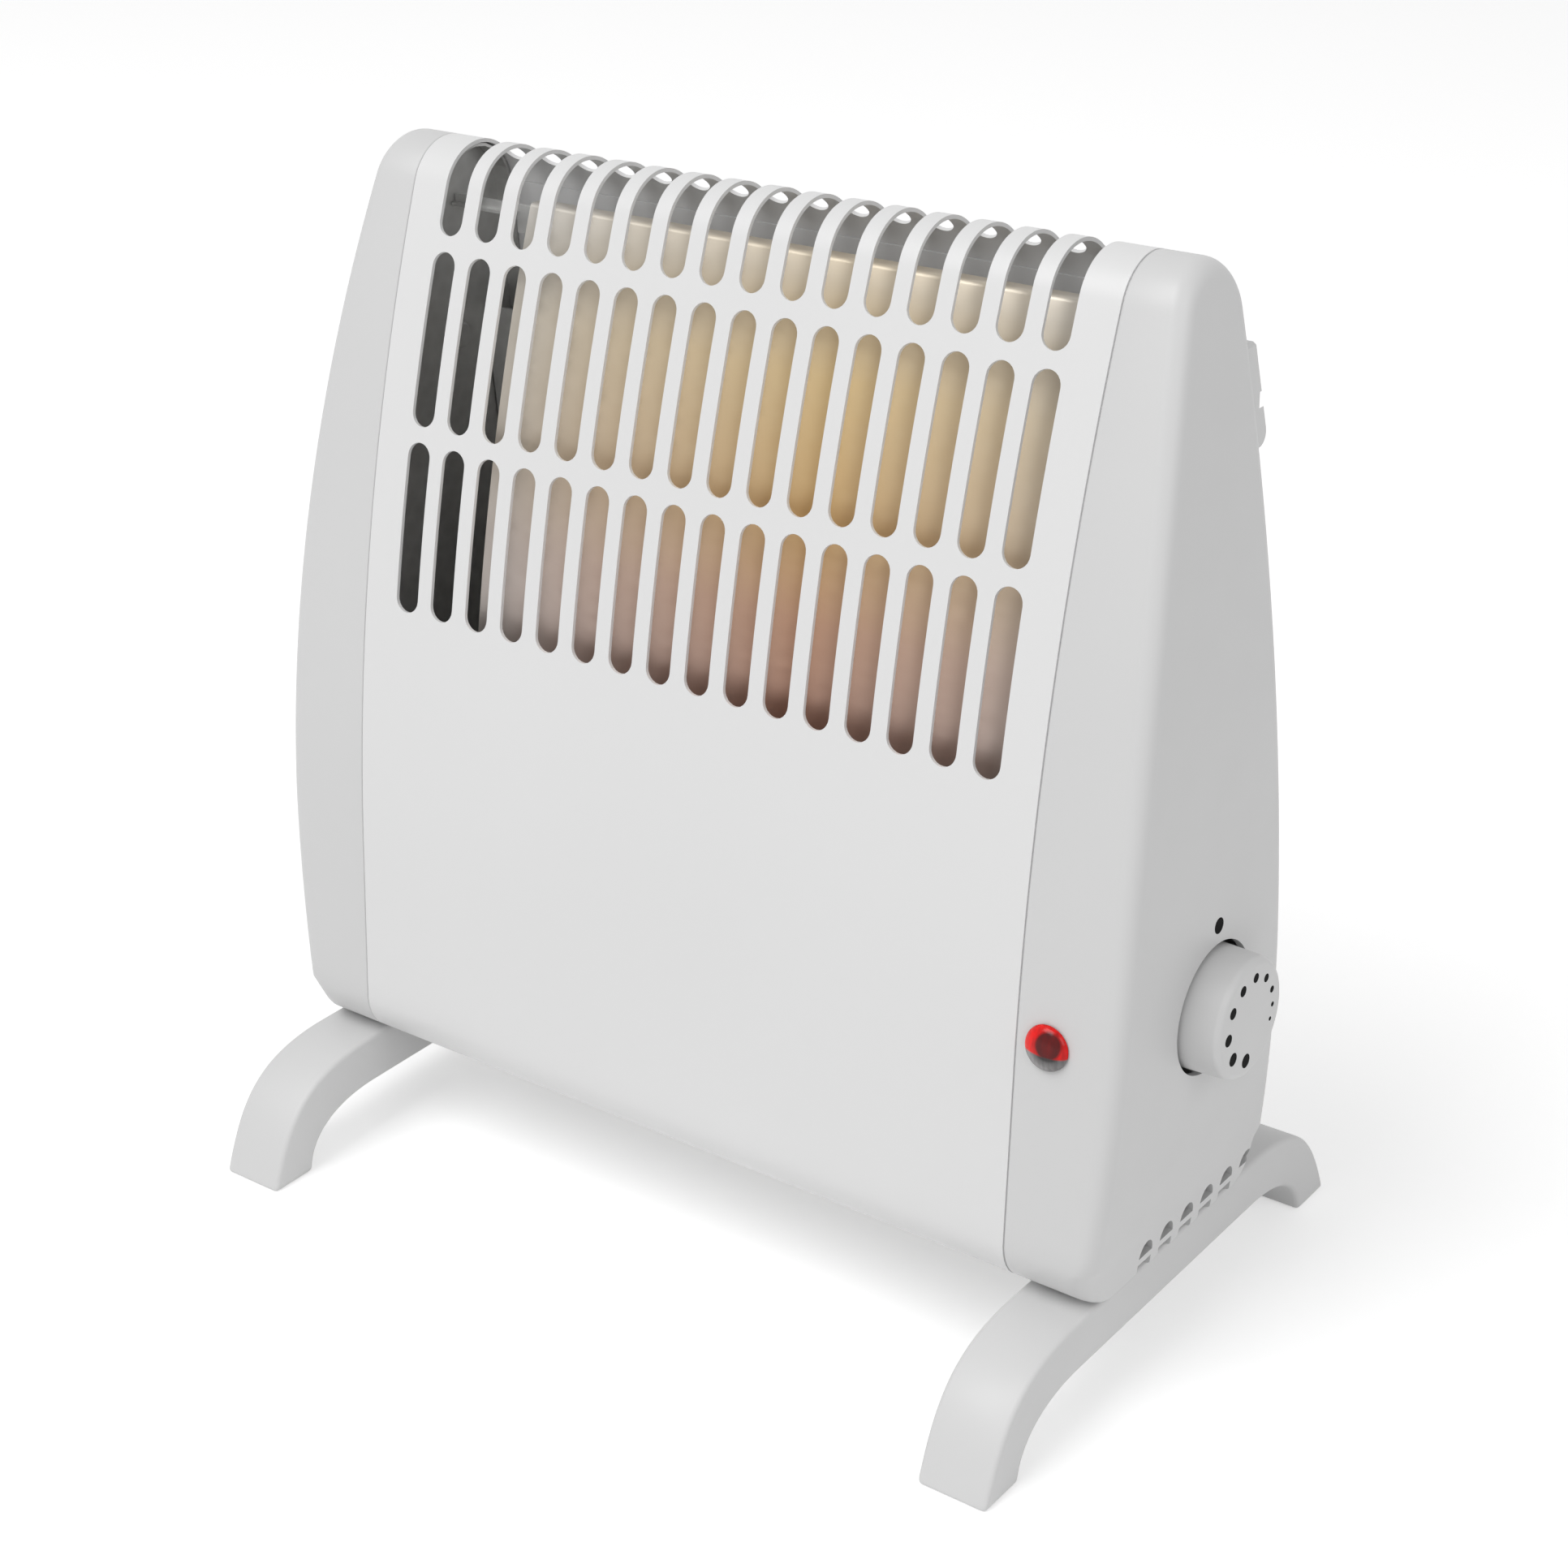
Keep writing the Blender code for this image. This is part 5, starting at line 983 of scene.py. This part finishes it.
def dots():
    """The ring of dots that turns with the knob, and the index dot above it on the cap."""
    bm = bmesh.new()
    for angle, width in zip(DOT_ANGLES, DOT_WIDTHS):
        turn = math.radians(angle)
        across, up = DOT_RING * math.cos(turn), DOT_RING * math.sin(turn)
        spot = Vector((KNOB_FACE_X, KNOB_Y + across, KNOB_Z + up))
        add_dot(bm, spot, Vector((1, 0, 0)), width * MM, segments=32)
    new_piece("knob_dots", bm, LOOKS["dot_print"], "black_plastic", "knob")
    bm = bmesh.new()
    height = KNOB_Z + DOT_INDEX_RISE
    slope = (height - CAP_WIDEST_Z) / CAP_UPPER_RADIUS
    outward = Vector((math.sqrt(1 - slope * slope), 0, slope))
    spot = Vector((cap_side(height), KNOB_Y + DOT_INDEX_SHIFT_Y, height))
    add_dot(bm, spot, outward, DOT_INDEX, segments=40)
    new_piece("index_dot", bm, LOOKS["dot_print"], "black_plastic", "casing")


round_knob()
dots()

# Pilot lamp lens

LENS_RISE = 2.6 * MM
LENS_STEPS = 16
LENS_SLEEVE_RADIUS = 5.2 * MM
LENS_SLEEVE_WALL = 1.0 * MM
LENS_SLEEVE_DEPTH = 12.0 * MM
LENS_WALL = 1.0 * MM


def lens():
    """The domed lens with the sleeve behind it that holds it in the cap."""
    profile = [(0, SEAT_GAP + LENS_RISE)]
    for k in range(1, LENS_STEPS + 1):
        angle = math.pi / 2 * (1 - k / LENS_STEPS)
        profile.append((LENS_RADIUS * math.cos(angle), SEAT_GAP + LENS_RISE * math.sin(angle)))
    inside = LENS_SLEEVE_RADIUS - LENS_SLEEVE_WALL
    profile += [(LENS_SLEEVE_RADIUS, SEAT_GAP), (LENS_SLEEVE_RADIUS, -LENS_SLEEVE_DEPTH)]
    profile += [(inside, -LENS_SLEEVE_DEPTH), (inside, -LENS_WALL), (0, -LENS_WALL)]
    bm = bmesh.new()
    add_turned(bm, profile, LAMP_SPOT, LAMP_OUT)
    new_piece("lens_dome", bm, LOOKS["red_lens"], "red_lens", "casing", "lamp_lens")


lens()


# Studio

FLOOR_HALF = 3.0
FLOOR_TONE = 0.9
FLOOR_ROUGHNESS = 0.9
FLOOR_GLOW = 0.38
SKY_LIGHT = 0.4
LOOK_AT = (0, 0, 0.13)
LAMPS = (
    ("key", (-0.75, -1.9, 2.9), 2.2, 62),
    ("fill", (2.2, -0.7, 1.6), 1.6, 14),
)


def seen_strength(tree, lit, seen, target):
    """Drives a strength: one value for the light that falls on the part, another for what is looked at."""
    path = tree.nodes.new("ShaderNodeLightPath")
    value = path.outputs["Is Camera Ray"]
    for name in ("Is Glossy Ray", "Is Transmission Ray"):
        either = tree.nodes.new("ShaderNodeMath")
        either.operation = "MAXIMUM"
        tree.links.new(value, either.inputs[0])
        tree.links.new(path.outputs[name], either.inputs[1])
        value = either.outputs["Value"]
    choice = tree.nodes.new("ShaderNodeMapRange")
    choice.inputs["To Min"].default_value = lit
    choice.inputs["To Max"].default_value = seen
    tree.links.new(value, choice.inputs["Value"])
    tree.links.new(choice.outputs["Result"], target)


def floor_material():
    """A pale floor that keeps the shadow and glows a little when looked at, so its open part is white."""
    material = bpy.data.materials.new("pale_floor")
    material.use_nodes = True
    tree = material.node_tree
    shader = tree.nodes["Principled BSDF"]
    shader.inputs["Base Color"].default_value = (FLOOR_TONE, FLOOR_TONE, FLOOR_TONE, 1)
    shader.inputs["Roughness"].default_value = FLOOR_ROUGHNESS
    shader.inputs["Emission Color"].default_value = (1, 1, 1, 1)
    seen_strength(tree, 0.0, FLOOR_GLOW, shader.inputs["Emission Strength"])
    return material


def floor():
    mesh = bpy.data.meshes.new("floor")
    corners = [(x * FLOOR_HALF, y * FLOOR_HALF, 0) for x, y in ((-1, -1), (1, -1), (1, 1), (-1, 1))]
    mesh.from_pydata(corners, [], [(0, 1, 2, 3)])
    mesh.materials.append(floor_material())
    sheet = bpy.data.objects.new("floor", mesh)
    bpy.context.scene.collection.objects.link(sheet)


floor()

world = bpy.data.worlds.new("studio")
world.use_nodes = True
background = world.node_tree.nodes["Background"]
background.inputs["Color"].default_value = (1, 1, 1, 1)
seen_strength(world.node_tree, SKY_LIGHT, 1.0, background.inputs["Strength"])
bpy.context.scene.world = world


def area_light(name, spot, size, power):
    """A square lamp that faces the heater."""
    light = bpy.data.lights.new(name, "AREA")
    light.shape = "SQUARE"
    light.size = size
    light.energy = power
    holder = bpy.data.objects.new(name, light)
    holder.location = spot
    holder.rotation_euler = (Vector(LOOK_AT) - Vector(spot)).to_track_quat("-Z", "Y").to_euler()
    bpy.context.scene.collection.objects.link(holder)


for lamp in LAMPS:
    area_light(*lamp)

# Camera at the photograph's viewpoint

AZIMUTH, ELEVATION, ROLL = (math.radians(value) for value in (37.616, 25.625, -1.567))
CAMERA_SPOT = (0.43794 + SHIFT_X, -0.55596, 0.46434)
FOCAL_LENGTH = 67.44
SENSOR_WIDTH = 36
level = math.cos(ELEVATION)
behind = Vector((math.sin(AZIMUTH) * level, -math.cos(AZIMUTH) * level, math.sin(ELEVATION)))
right = Vector((0, 0, 1)).cross(behind).normalized()
above = behind.cross(right)
turned_right = math.cos(ROLL) * right + math.sin(ROLL) * above
turned_up = math.cos(ROLL) * above - math.sin(ROLL) * right
view = bpy.data.cameras.new("camera")
view.sensor_width = SENSOR_WIDTH
view.lens = FOCAL_LENGTH
camera = bpy.data.objects.new("camera", view)
matrix = Matrix((turned_right, turned_up, behind)).transposed().to_4x4()
matrix.translation = Vector(CAMERA_SPOT)
camera.matrix_world = matrix
bpy.context.scene.collection.objects.link(camera)
bpy.context.scene.camera = camera
bpy.context.scene.view_settings.view_transform = "Standard"
